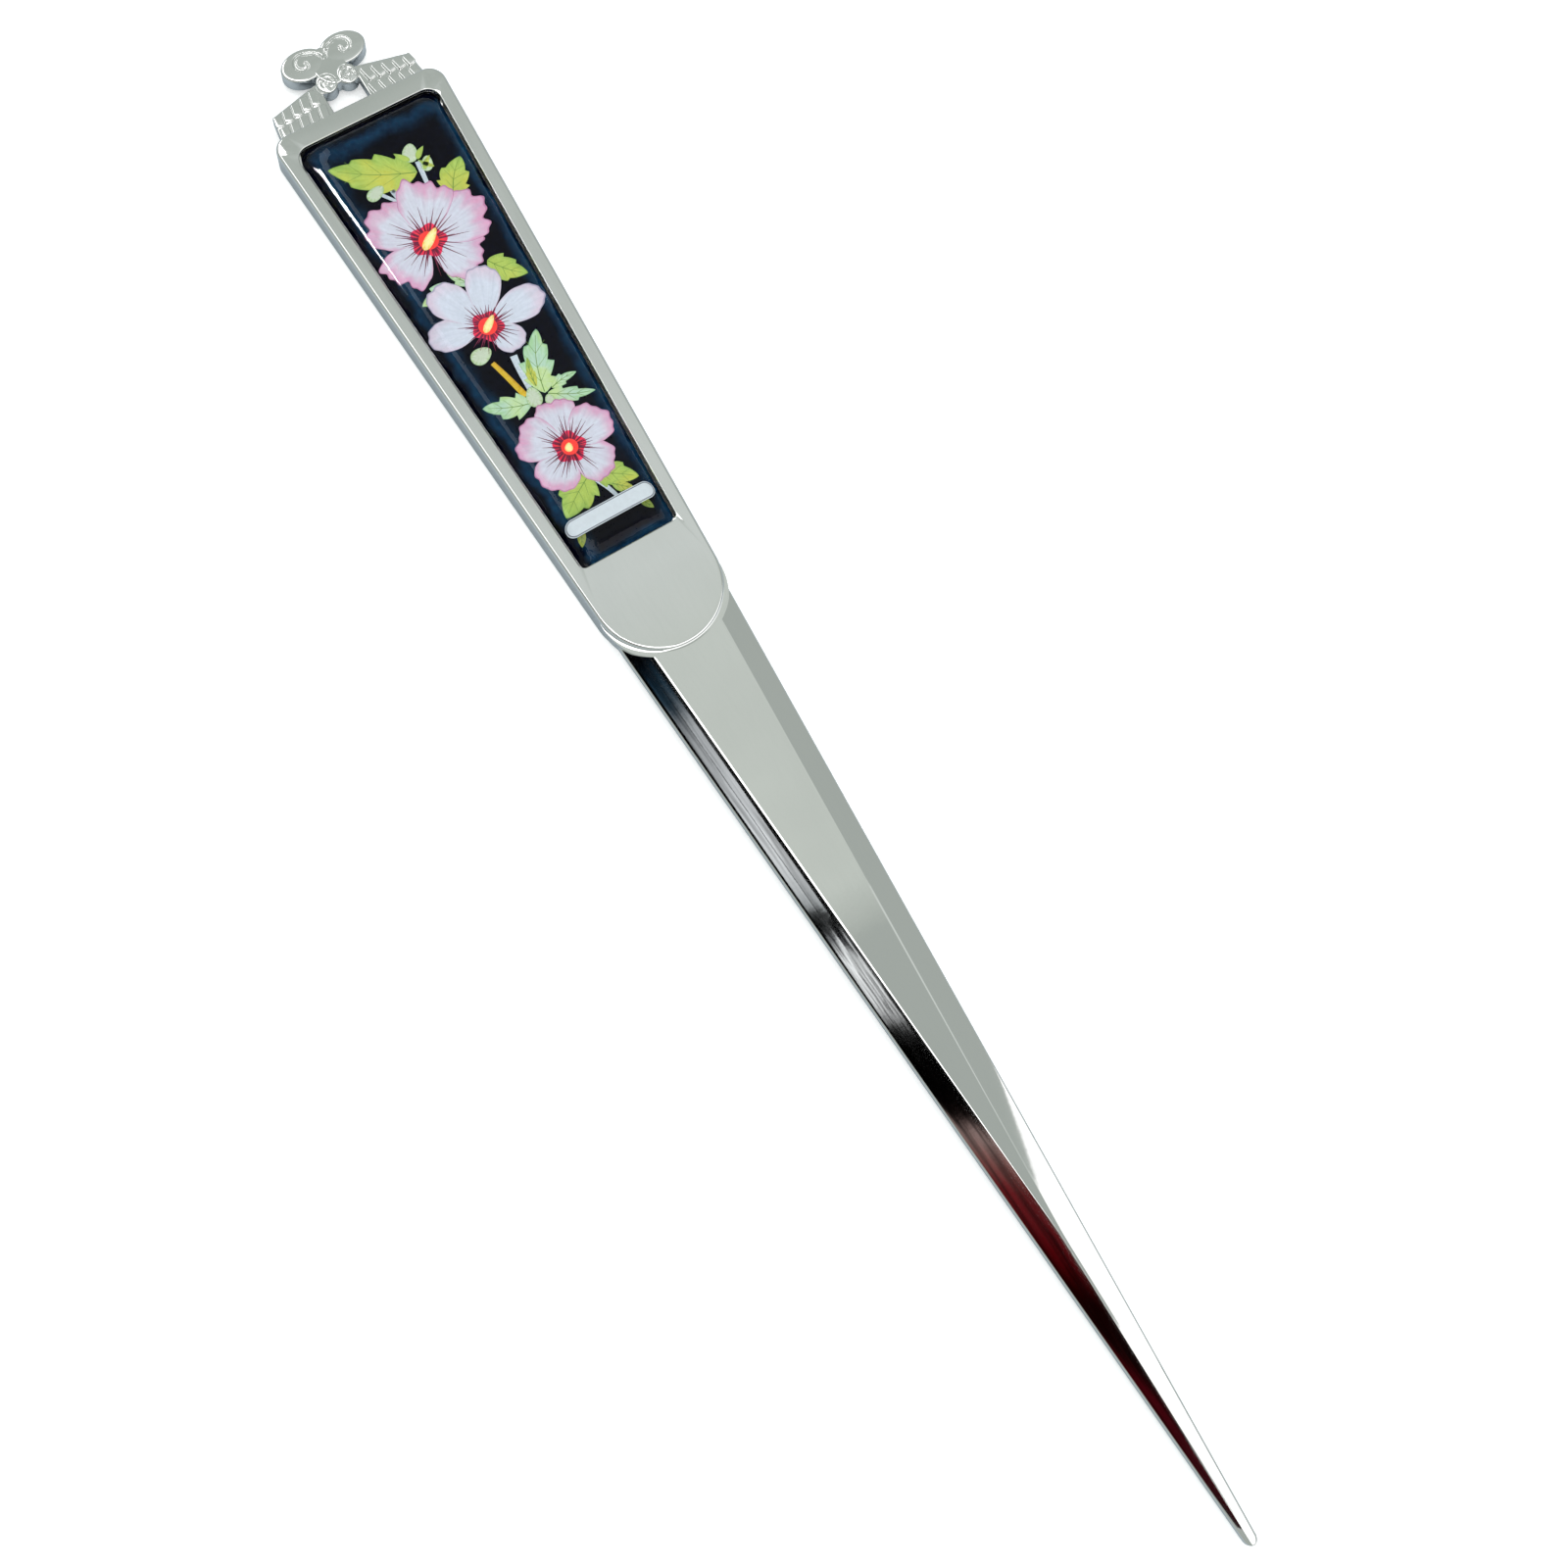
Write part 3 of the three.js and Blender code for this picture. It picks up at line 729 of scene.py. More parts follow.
place = xyz_node(tile_tree, calc("SUBTRACT", given["Base"], up), calc("MULTIPLY", out, given["Side"]),
                 given["Middle Height"])
size = xyz_node(tile_tree, calc("SUBTRACT", row_height, given["Gap"]),
                calc("SUBTRACT", given["Pitch"], given["Gap"]), given["Thickness"])
slope = calc("ARCTAN2", drop, calc("MULTIPLY", given["Pitch"], given["Columns"]))
slant = calc("MULTIPLY", slope, calc("MULTIPLY", given["Side"], -1.0))
lay_copies(tile_tree, given, "Tile", calc("MULTIPLY", given["Rows"], given["Columns"]), place,
           xyz_node(tile_tree, 0.0, 0.0, slant), size)

# %% Lay the tiles
plating = bpy.data.materials.new("bright_plating")
TILE_ROWS = 2
TILE_COLUMNS = 5
tile_numbers = {
    "Tile": tile, "Rows": TILE_ROWS, "Columns": TILE_COLUMNS, "Pitch": 1.42 * MM, "Inner Edge": 3.0 * MM,
    "Inner Height": 4.95 * MM, "Outer Height": 3.5 * MM, "Gap": 0.26 * MM, "Lean": 0.06,
    "Thickness": 0.9 * MM, "Middle Height": 2.78 * MM, "Base": (HANDLE_START + 0.1) * MM, "Material": plating,
}
for side in (-1.0, 1.0):
    crest_parts.append(grown_object("roof_tiles", tile_tree, {**tile_numbers, "Side": side}))
print("tiles on each wing", TILE_ROWS * TILE_COLUMNS, "faces", len(crest_parts[-1].data.polygons))

# %% Join everything into one casting
joined = [casting, blade, cove, *crest_parts]
SHARP_ANGLE = math.radians(38)
union_group = bpy.data.collections.new("casting_parts")
for part in joined[1:]:
    union_group.objects.link(part)
union = casting.modifiers.new("union", "BOOLEAN")
union.operation = "UNION"
union.solver = "EXACT"
union.use_self = True
union.operand_type = "COLLECTION"
union.collection = union_group
graph = bpy.context.evaluated_depsgraph_get()
union_data = bpy.data.meshes.new_from_object(casting.evaluated_get(graph), depsgraph=graph)
casting.modifiers.remove(union)
casting.data = union_data
for part in joined[1:]:
    bpy.data.objects.remove(part)
bpy.data.collections.remove(union_group)
bpy.data.objects.remove(tile)

whole = bmesh.new()
whole.from_mesh(casting.data)
bmesh.ops.remove_doubles(whole, verts=whole.verts, dist=0.0002 * MM)
bmesh.ops.dissolve_degenerate(whole, dist=0.0001 * MM, edges=whole.edges)
bmesh.ops.delete(whole, geom=[vertex for vertex in whole.verts if not vertex.link_faces], context="VERTS")
open_edges = [edge for edge in whole.edges if not edge.is_manifold]
for face in whole.faces:
    face.smooth = True
for edge in whole.edges:
    edge.smooth = edge.is_manifold and edge.calc_face_angle(0) < SHARP_ANGLE
whole.to_mesh(casting.data)
print("casting faces", len(whole.faces), "open edges", len(open_edges))
print("casting volume", round(whole.calc_volume() / MM ** 3), "mm3")
whole.free()
casting.data.materials.clear()
casting.data.materials.append(plating)
leveller = casting.modifiers.new("weighted normals", "WEIGHTED_NORMAL")
leveller.keep_sharp = True
leveller.weight = 100

# %% [markdown]
# ### The plating
#
# Bright plating is nearly a perfect mirror with a faint cool tint. What makes it look real is what disturbs
# the mirror: the casting's slow ripple under the plate, very fine orange peel, and a haze of wiping marks
# that only changes how sharp the reflection is. The ripple serves the resin too, and the marks the board, so
# each is a group.


# %% Shared effects
def effect_group(name, inputs, outputs):
    """A shader node group of numbers: its inputs with their usual values, and its outputs."""
    group = bpy.data.node_groups.new(name, "ShaderNodeTree")
    for label, value in inputs.items():
        socket = group.interface.new_socket(label, in_out="INPUT", socket_type="NodeSocketFloat")
        socket.default_value = value
    for label in outputs:
        group.interface.new_socket(label, in_out="OUTPUT", socket_type="NodeSocketFloat")
    group.nodes.new("NodeGroupInput").name = "in"
    group.nodes.new("NodeGroupOutput").name = "out"
    return group


ripple = effect_group("surface_ripple", {"Wave Size": 120.0, "Wave Height": 1.0, "Peel Size": 900.0,
                                         "Peel Height": 0.3}, ["Height"])
given = ripple.nodes["in"].outputs
place = object_place(ripple)
waves = noisy(ripple, place, Scale=given["Wave Size"], Detail=1.0)
peel = noisy(ripple, place, Scale=given["Peel Size"], Detail=2.0)
tall = maths(ripple, "MULTIPLY", waves, given["Wave Height"])
wire(ripple, maths(ripple, "MULTIPLY_ADD", peel, given["Peel Height"], tall),
     ripple.nodes["out"].inputs["Height"])

wiping = effect_group("wiping_marks", {"Scale": 60.0, "Clean": 0.04, "Marked": 0.12},
                      ["Roughness", "Marks"])
given = wiping.nodes["in"].outputs
place = object_place(wiping)
calc = partial(maths, wiping)
stretch = add_node(wiping, "ShaderNodeMapping", Vector=place, Scale=(0.12, 1.0, 1.0),
                   Rotation=(0.0, 0.0, 0.35))
fine = calc("MULTIPLY", given["Scale"], 30.0)
streaks = noisy(wiping, stretch.outputs[0], Scale=fine, Detail=6.0, Roughness=0.7)
patches = noisy(wiping, place, Scale=given["Scale"], Detail=3.0)
marks = ranged(wiping, calc("MULTIPLY", streaks, patches), 0.2, 0.42)
spread = calc("SUBTRACT", given["Marked"], given["Clean"])
fill(wiping, wiping.nodes["out"], Roughness=calc("MULTIPLY_ADD", marks, spread, given["Clean"]), Marks=marks)
print("shared effects", [group.name for group in bpy.data.node_groups])


# %% Shorthands for materials
def place_group(tree, group, **values):
    return add_node(tree, "ShaderNodeGroup", node_tree=group, **values).outputs


def bump_from(tree, height, strength, distance):
    bump = add_node(tree, "ShaderNodeBump", Height=height, Strength=strength, Distance=distance)
    return bump.outputs["Normal"]


# %% Bright plating
tree, shader = painted(plating)
marked = place_group(tree, wiping, Scale=70.0, Clean=0.04, Marked=0.065)
tint = mixed_colour(tree, marked["Marks"], (0.90, 0.905, 0.895, 1), (0.88, 0.888, 0.878, 1))
rippled = place_group(tree, ripple, Wave_Size=150.0, Wave_Height=1.0, Peel_Size=1300.0, Peel_Height=0.1)
fill(tree, shader, Metallic=1.0, Roughness=marked["Roughness"], Base_Color=tint,
     Normal=bump_from(tree, rippled[0], 0.35, 0.02 * MM))

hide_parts("body_casting")
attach(casting, "root")

# %% [markdown]
# ## The picture
#
# The printed sheet is nearly black with a painted blue sheen along its edges, and the flowers are printed on
# it:
# three open blooms, leaves, buds and stems. A painted texture would do this with one image, but here each
# petal and leaf is a thin patch of its own, a few microns proud, as inks lie on each other. A petal is a rule
# (its reach in each direction from the flower's middle), so a bloom is a short list of directions and
# lengths. Each patch keeps a map of direction and distance from its middle, which the inks follow.

# %% Patches
INK_LEVEL = {"stem": 3.205, "leaf": 3.209, "vein": 3.219, "bud": 3.222, "calyx": 3.226, "petal": 3.230,
             "heart": 3.244, "hair": 3.248, "stamen": 3.252}
LEAF_LIFT = 0.001
PETAL_LIFT = 0.0024
SHARES = (0.0, 0.12, 0.3, 0.5, 0.7, 0.86, 0.95, 1.0)


def compass(degrees):
    """A direction on the sheet: 0 points right of the handle's line, 90 towards the crest."""
    return np.array((-math.sin(math.radians(degrees)), math.cos(math.radians(degrees))))


class Ink:
    """All patches of one ink, gathered in one mesh with a map: direction round the middle, share outwards."""

    def __init__(self, name):
        self.name = name
        self.mesh = bmesh.new()
        self.map = self.mesh.loops.layers.uv.new("ink_map")

    def face(self, corners, spots):
        """A face, with the place of each corner on the map."""
        for loop, spot in zip(self.mesh.faces.new(corners).loops, spots):
            loop[self.map].uv = spot

    def patch(self, middle, outline, level):
        """A fan from the middle out to the outline, in rings, facing up."""
        middle = np.array(middle)
        outline = np.array(outline)
        area = np.sum(outline[:, 0] * np.roll(outline[:, 1], -1) - np.roll(outline[:, 0], -1) * outline[:, 1])
        if area < 0:
            outline = outline[::-1]
        count = len(outline)
        turns = [math.atan2(*(point - middle)) / (2 * math.pi) for point in outline]
        rows = [new_row(self.mesh, middle + (outline - middle) * share, level) for share in SHARES[1:]]
        centre = new_row(self.mesh, [middle], level)[0]
        for i in range(count):
            j = (i + 1) % count
            turn, next_turn = turns[i], turns[j]
            if abs(next_turn - turn) > 0.5:
                next_turn += math.copysign(1, turn - next_turn)
            half_way = (turn + next_turn) / 2
            self.face((centre, rows[0][i], rows[0][j]),
                      ((half_way, 0), (turn, SHARES[1]), (next_turn, SHARES[1])))
            for k in range(len(rows) - 1):
                near, far = SHARES[k + 1], SHARES[k + 2]
                self.face((rows[k][i], rows[k + 1][i], rows[k + 1][j], rows[k][j]),
                          ((turn, near), (turn, far), (next_turn, far), (next_turn, near)))

    def ribbon(self, points, widths, level):
        """A line of ink through points, with a width at each; the map runs along it and across it."""
        line = smooth_line(points)
        width = np.interp(np.linspace(0, 1, len(line)), np.linspace(0, 1, len(widths)), widths)
        along = np.gradient(line, axis=0)
        along /= np.linalg.norm(along, axis=1)[:, None]
        across = np.column_stack((-along[:, 1], along[:, 0]))
        half = across * width[:, None] / 2
        left = new_row(self.mesh, line - half, level)
        right = new_row(self.mesh, line + half, level)
        for i in range(len(line) - 1):
            here, there = i / len(line), (i + 1) / len(line)
            self.face((left[i], left[i + 1], right[i + 1], right[i]),
                      ((here, 0), (there, 0), (there, 1), (here, 1)))

    def done(self, material):
        for face in self.mesh.faces:
            face.normal_update()
            if face.normal.z < 0:
                face.normal_flip()
        data = bpy.data.meshes.new(self.name)
        self.mesh.to_mesh(data)
        self.mesh.free()
        data.materials.append(material)
        return linked_object(self.name, data)


def smooth_line(points, steps=8):
    """A smooth line through a few points."""
    knots = np.array([points[0], *points, points[-1]], dtype=float)
    line = []
    for a, b, c, d in zip(knots, knots[1:], knots[2:], knots[3:]):
        for t in np.arange(steps) / steps:
            line.append(0.5 * (2 * b + (c - a) * t + (2 * a - 5 * b + 4 * c - d) * t ** 2
                               + (3 * b - a - 3 * c + d) * t ** 3))
    line.append(knots[-1])
    return np.array(line)


# %% Petals
PETAL_STEPS = 46


def petal_outline(middle, degrees, length, spread, ruffle, blunt, seed):
    """The outline of one petal: its reach at each angle to its own line, ruffled at the rim."""
    outline = [np.array(middle)]
    waves = np.random.default_rng(seed).uniform(0, 2 * math.pi, 3)
    for share in np.linspace(-1, 1, PETAL_STEPS):
        reach = (1 - abs(share) ** blunt) ** 0.55
        rim = 1 + ruffle * (0.5 * math.sin(5.3 * share + waves[0]) + 0.34 * math.sin(12 * share + waves[1])
                            + 0.3 * math.sin(23 * share + waves[2]))
        far = length * (0.06 + 0.94 * reach) * rim
        outline.append(np.array(middle) + compass(degrees + share * spread) * far)
    return outline


# One line per petal: direction, length, half spread in degrees; later petals lie over earlier ones.
BLOOM_ONE = ((-14.65, -1.3), 0.1, 4.0, (
    (208, 6.9, 46), (-53, 7.4, 46), (128, 7.9, 45), (8, 8.7, 42), (66, 8.4, 42)))
BLOOM_TWO = ((-0.95, -0.6), 0.03, 2.3, (
    (-60, 5.3, 44), (5, 8.3, 32), (167, 7.4, 34), (117, 8.5, 33), (65, 8.3, 31)))
BLOOM_THREE = ((18.35, 0.0), 0.05, 4.0, (
    (219, 6.0, 49), (80, 6.6, 38), (-57, 6.1, 46), (138, 6.5, 45), (19, 6.5, 45)))

ruffled = Ink("ruffled_petals")
smooth_petals = Ink("smooth_petals")
blooms = ((ruffled, BLOOM_ONE), (smooth_petals, BLOOM_TWO), (ruffled, BLOOM_THREE))
for number, (ink, (middle, ruffle, blunt, petals)) in enumerate(blooms):
    for order, (degrees, length, spread) in enumerate(petals):
        shape = petal_outline(middle, degrees, length, spread, ruffle, blunt, 10 * number + order)
        ink.patch(middle, shape, INK_LEVEL["petal"] + order * PETAL_LIFT)
print("petals", sum(len(bloom[-1]) for _, bloom in blooms))

# %% Hearts and stamens
hearts = Ink("flower_hearts")
stamens = Ink("stamens")


def blob(middle, radius, lobes, depth, degrees, steps=70):
    """A round patch with lobes."""
    outline = []
    for step in range(steps):
        turn = 360 * step / steps
        reach = radius * (1 + depth * math.cos(math.radians(lobes * (turn - degrees))))
        outline.append(np.array(middle) + compass(turn) * reach)
    return outline


def oval(middle, half_long, half_wide, degrees, steps=32, egg=0.0):
    outline = []
    for step in range(steps):
        turn = 2 * math.pi * step / steps
        long_way = compass(degrees) * half_long * math.cos(turn)
        wide_way = compass(degrees + 90) * half_wide * math.sin(turn) * (1 - egg * math.cos(turn))
        outline.append(np.array(middle) + long_way + wide_way)
    return outline


for middle, radius, degrees in (
        ((-14.65, -1.2), 2.1, 128), ((-0.75, -0.6), 1.85, 116), ((18.4, 0.1), 1.9, 138)):
    hearts.patch(middle, blob(middle, 1.06 * radius, 5, 0.11, degrees), INK_LEVEL["heart"])
for middle, half_long, half_wide, degrees in (
        ((-14.75, -0.95), 1.75, 0.62, 36), ((-0.95, -0.3), 1.35, 0.5, 38), ((18.4, 0.0), 0.62, 0.5, 60)):
    stamens.patch(middle, oval(middle, half_long, half_wide, degrees, egg=0.25), INK_LEVEL["stamen"])

# %% Leaves
leaves = Ink("leaves")
mint_leaves = Ink("mint_leaves")
veins = Ink("leaf_veins")
LEAF_STEPS = 40
SIDE_VEINS = 3
LEAF_BROAD = 0.72


def leaf(ink, base, tip, width, teeth, bend, level, depth=0.28):
    """A toothed leaf from its base to its tip, with its midrib and side veins."""
    base, tip = np.array(base), np.array(tip)
    ahead = tip - base
    length = np.linalg.norm(ahead)
    ahead = ahead / length
    aside = np.array((-ahead[1], ahead[0]))

    def spine(t):
        return base + ahead * length * t + aside * bend * math.sin(math.pi * t)

    sides = []
    for side in (1, -1):
        edge = []
        for t in np.linspace(0, 1, LEAF_STEPS):
            tooth = 1 - (teeth * t) % 1
            half = width / 2 * math.sin(math.pi * t ** LEAF_BROAD) ** 0.85 * (1 - depth * tooth * (t < 0.93))
            edge.append(spine(t) + aside * side * half)
        sides.append(edge)
    ink.patch(spine(0.2), sides[0] + sides[1][::-1][1:], level)
    veins.ribbon([spine(t) for t in (0.02, 0.3, 0.6, 0.9)], (0.13, 0.05), INK_LEVEL["vein"])
    for number in range(SIDE_VEINS):
        start = 0.18 + 0.22 * number
        for side in (1, -1):
            reach = width * 0.3 * math.sin(math.pi * start ** LEAF_BROAD)
            end = spine(min(start + 0.2, 0.95)) + aside * side * reach
            veins.ribbon([spine(start), end], (0.07, 0.03), INK_LEVEL["vein"])


for order, (base, tip, width, teeth, bend) in enumerate((
        ((-23.7, 2.3), (-29.3, -7.5), 6.2, 4, 0.5), ((-18.7, 4.7), (-23.1, 8.1), 4.5, 3, 0.3),
        ((-8.7, 3.9), (-4.7, 7.4), 4.0, 3, -0.3), ((9.3, 0.6), (5.3, 1.6), 1.3, 2, 0.2),
        ((22.8, 0.3), (26.4, -5.0), 5.4, 3, -0.2), ((23.0, 0.9), (26.0, 5.6), 4.0, 3, 0.2),
        ((25.2, 2.2), (27.2, 4.4), 1.7, 2, 0.0), ((28.6, -4.2), (30.6, -5.2), 1.2, 1, 0.0),
        ((28.6, 4.2), (30.5, 5.1), 1.2, 1, 0.0))):
    leaf(leaves, base, tip, width, teeth, bend, INK_LEVEL["leaf"] + order * LEAF_LIFT)
for order, (base, tip, width, teeth, bend) in enumerate((
        ((-8.4, -2.0), (-7.1, -6.4), 2.9, 2, 0.3), ((-6.6, 0.6), (-10.2, -1.4), 2.0, 2, 0.2),
        ((10.6, 1.1), (2.5, 4.5), 4.8, 4, 0.5), ((11.0, -1.0), (8.6, -6.6), 3.9, 3, 0.3),
        ((10.8, 1.4), (13.3, 6.7), 2.5, 3, -0.3), ((10.4, 2.2), (10.0, 6.0), 1.7, 2, 0.2))):
    leaf(mint_leaves, base, tip, width, teeth, bend, INK_LEVEL["leaf"] + order * LEAF_LIFT, depth=0.4)

# %% Buds and stems
buds = Ink("buds")
stems = Ink("stems")
for middle, half_long, half_wide, degrees in (
        ((-26.5, 2.8), 1.35, 1.0, 60), ((-24.2, 4.0), 1.1, 0.75, 60), ((-23.6, -3.8), 1.35, 0.85, 20),
        ((-22.1, 0.0), 1.2, 0.75, 120), ((2.35, -3.3), 1.45, 1.1, 10), ((10.4, -0.4), 1.4, 1.0, 80),
        ((11.6, 1.2), 0.7, 0.6, 80)):
    buds.patch(middle, oval(middle, half_long, half_wide, degrees, egg=0.2), INK_LEVEL["bud"])
for middle, tip, width in (((-25.6, 2.3), (-27.4, 0.9), 0.9), ((-25.3, 3.2), (-26.6, 4.8), 0.8),
                           ((-23.6, 3.3), (-25.1, 4.9), 0.7), ((-23.4, 4.6), (-25.2, 3.2), 0.6)):
    leaf(leaves, middle, tip, width, 1, 0.1, INK_LEVEL["calyx"], depth=0.0)
for points, widths in (
        (((-25.0, 3.1), (-23.0, 2.8), (-20.6, 2.5)), (0.75, 0.5)),
        (((-25.1, -1.9), (-22.9, -1.8), (-20.4, -1.5)), (0.7, 0.5)),
        (((-25.0, -0.6), (-23.7, -1.2), (-22.6, -1.8)), (0.45, 0.45)),
        (((-23.0, -3.2), (-21.2, -1.9)), (0.5, 0.4)),
        (((4.3, 0.2), (6.6, -0.1), (9.6, -0.3)), (0.95, 0.65)),
        (((23.8, 0.8), (25.4, 1.5), (27.1, 2.0)), (0.65, 0.5)),
        (((23.4, 1.6), (24.7, 2.7)), (0.5, 0.4))):
    stems.ribbon(points, widths, INK_LEVEL["stem"])
orange_stem = Ink("orange_stem")
orange_stem.ribbon(((3.9, -2.6), (6.6, -1.9), (9.8, -1.2)), (0.6, 0.85), INK_LEVEL["stem"])

# %% [markdown]
# ### The dark hairs round each heart
#
# Fine dark lines run outwards from each red heart, all alike but never the same length. That is a rule with a
# seed, so a second tree places one thin tapered sliver many times round a circle, turns it outwards and
# gives it its own length.

# %% The tree that draws the hairs
hair_tree = node_tree("heart_hairs", {
    "Object": ["Hair"], "Int": ["Count", "Seed"], "Float": ["Radius", "Shortest", "Longest", "Width"],
    "Vector": ["Middle"], "Material": ["Material"],
})
given = hair_tree.nodes["in"].outputs
calc = partial(maths, hair_tree)
index = hair_tree.nodes.new("GeometryNodeInputIndex").outputs[0]


def random_between(tree, low, high, seed):
    node = add_node(tree, "FunctionNodeRandomValue", data_type="FLOAT", Seed=seed)
    wire(tree, low, node.inputs[2])
    wire(tree, high, node.inputs[3])
    return node.outputs[1]


step = calc("DIVIDE", 2 * math.pi, given["Count"])
jitter = random_between(hair_tree, -0.6, 0.6, given["Seed"])
turn = calc("MULTIPLY", calc("ADD", index, jitter), step)
flat = xyz_node(hair_tree, calc("MULTIPLY", calc("COSINE", turn), given["Radius"]),
                calc("MULTIPLY", calc("SINE", turn), given["Radius"]), 0.0)
shifted = hair_tree.nodes.new("ShaderNodeVectorMath")
wire(hair_tree, flat, shifted.inputs[0])
wire(hair_tree, given["Middle"], shifted.inputs[1])
reach = random_between(hair_tree, given["Shortest"], given["Longest"], given["Seed"])
lay_copies(hair_tree, given, "Hair", given["Count"], shifted.outputs[0],
           xyz_node(hair_tree, 0.0, 0.0, turn), xyz_node(hair_tree, reach, given["Width"], 1.0))

# %% Draw the hairs
hair_ink = bpy.data.materials.new("hair_ink")
sliver_data = bpy.data.meshes.new("sliver")
sliver_data.from_pydata(
    [(0, -0.5, 0), (0.4, -0.36, 0), (1, -0.08, 0), (1, 0.08, 0), (0.4, 0.36, 0), (0, 0.5, 0)],
    [], [(0, 1, 4, 5), (1, 2, 3, 4)],
)
sliver_object = bpy.data.objects.new("sliver", sliver_data)
HAIR_COUNT = 46
FIRST_SEED = 7
hair_numbers = {"Hair": sliver_object, "Count": HAIR_COUNT, "Shortest": 0.9 * MM, "Width": 0.21 * MM,
                "Material": hair_ink}
hair_pieces = []
for number, ((x, y), radius, longest) in enumerate((
        ((-14.65, -1.2), 1.3, 4.2), ((-0.75, -0.6), 1.2, 2.9), ((18.4, 0.1), 1.1, 3.6))):
    hair_pieces.append(grown_object(f"heart_hairs_{number + 1}", hair_tree, {
        **hair_numbers, "Radius": radius * MM, "Longest": longest * MM, "Seed": FIRST_SEED + number,
        "Middle": (x * MM, y * MM, INK_LEVEL["hair"] * MM),
    }))
bpy.data.objects.remove(sliver_object)
print("hairs", HAIR_COUNT * len(hair_pieces))

# %% [markdown]
# ### The inks
#
# Printed inks have no thickness to speak of, so all their detail is colour: petals blush at the rim and
# carry fine streaks that run outwards, leaves turn yellow in patches. One group makes the blush and the
# streaks from the patch's map, another breaks every colour up with the print's fine grain.

# %% Ink effects
petal_print = effect_group("outward_print", {"Streaks": 46.0, "Rim From": 0.5, "Rim To": 1.0,
                                             "Rim Wander": 0.25}, ["Rim", "Streak", "Line"])
given = petal_print.nodes["in"].outputs
calc = partial(maths, petal_print)
around, outwards, _ = split(petal_print, map_place(petal_print))
streak_place = xyz_node(petal_print, calc("MULTIPLY", around, given["Streaks"]),
                        calc("MULTIPLY", outwards, 0.9), 0.0)
streak = noisy(petal_print, streak_place, Scale=2.2, Detail=3.0)
wander = noisy(petal_print, object_place(petal_print), Scale=420.0, Detail=2.0)
moved = calc("MULTIPLY_ADD", calc("SUBTRACT", wander, 0.5), given["Rim Wander"], outwards)
fill(petal_print, petal_print.nodes["out"],
     Rim=ranged(petal_print, moved, given["Rim From"], given["Rim To"], interpolation_type="SMOOTHSTEP"),
     Streak=ranged(petal_print, streak, 0.38, 0.66), Line=ranged(petal_print, outwards, 0.965, 0.985))

grain = effect_group("print_grain", {"Scale": 2600.0, "Strength": 0.12}, ["Shade"])
given = grain.nodes["in"].outputs
dots = noisy(grain, object_place(grain), Scale=given["Scale"], Detail=3.0)
dots = maths(grain, "SUBTRACT", dots, 0.5)
wire(grain, maths(grain, "MULTIPLY_ADD", dots, given["Strength"], 1.0), grain.nodes["out"].inputs[0])


INK_SHADE = 0.68


def matt(tree, shader, colour, roughness=0.55):
    fill(tree, shader, Base_Color=colour, Roughness=roughness, Specular_IOR_Level=0.0)


def ink_material(name, colours, rim_from=0.5, streak_amount=0.5, line_amount=0.8, streaks=46.0, wander=0.25,
                 blush=None):
    """An ink that changes outwards over its patch, with streaks, a line round it and the print's grain."""
    material = bpy.data.materials.new(name)
    tree, shader = painted(material)
    body, rim, streak_colour, line_colour = (screen_colour(*colour) for colour in colours)
    printed = place_group(tree, petal_print, Streaks=streaks, Rim_From=rim_from, Rim_To=1.0,
                          Rim_Wander=wander)
    colour = mixed_colour(tree, printed["Rim"], body, rim)
    if blush is not None:
        cloud = noisy(tree, object_place(tree), Scale=230.0, Detail=1.0)
        mask = ranged(tree, cloud, 0.48, 0.62)
        colour = mixed_colour(tree, mask, colour, screen_colour(*blush), amount=0.75)
    colour = mixed_colour(tree, printed["Streak"], colour, streak_colour, amount=streak_amount)
    colour = mixed_colour(tree, printed["Line"], colour, line_colour, amount=line_amount)
    dotted = place_group(tree, grain, Scale=2600.0, Strength=0.22)[0]
    matt(tree, shader, scaled(tree, colour, maths(tree, "MULTIPLY", dotted, INK_SHADE)))
    return material


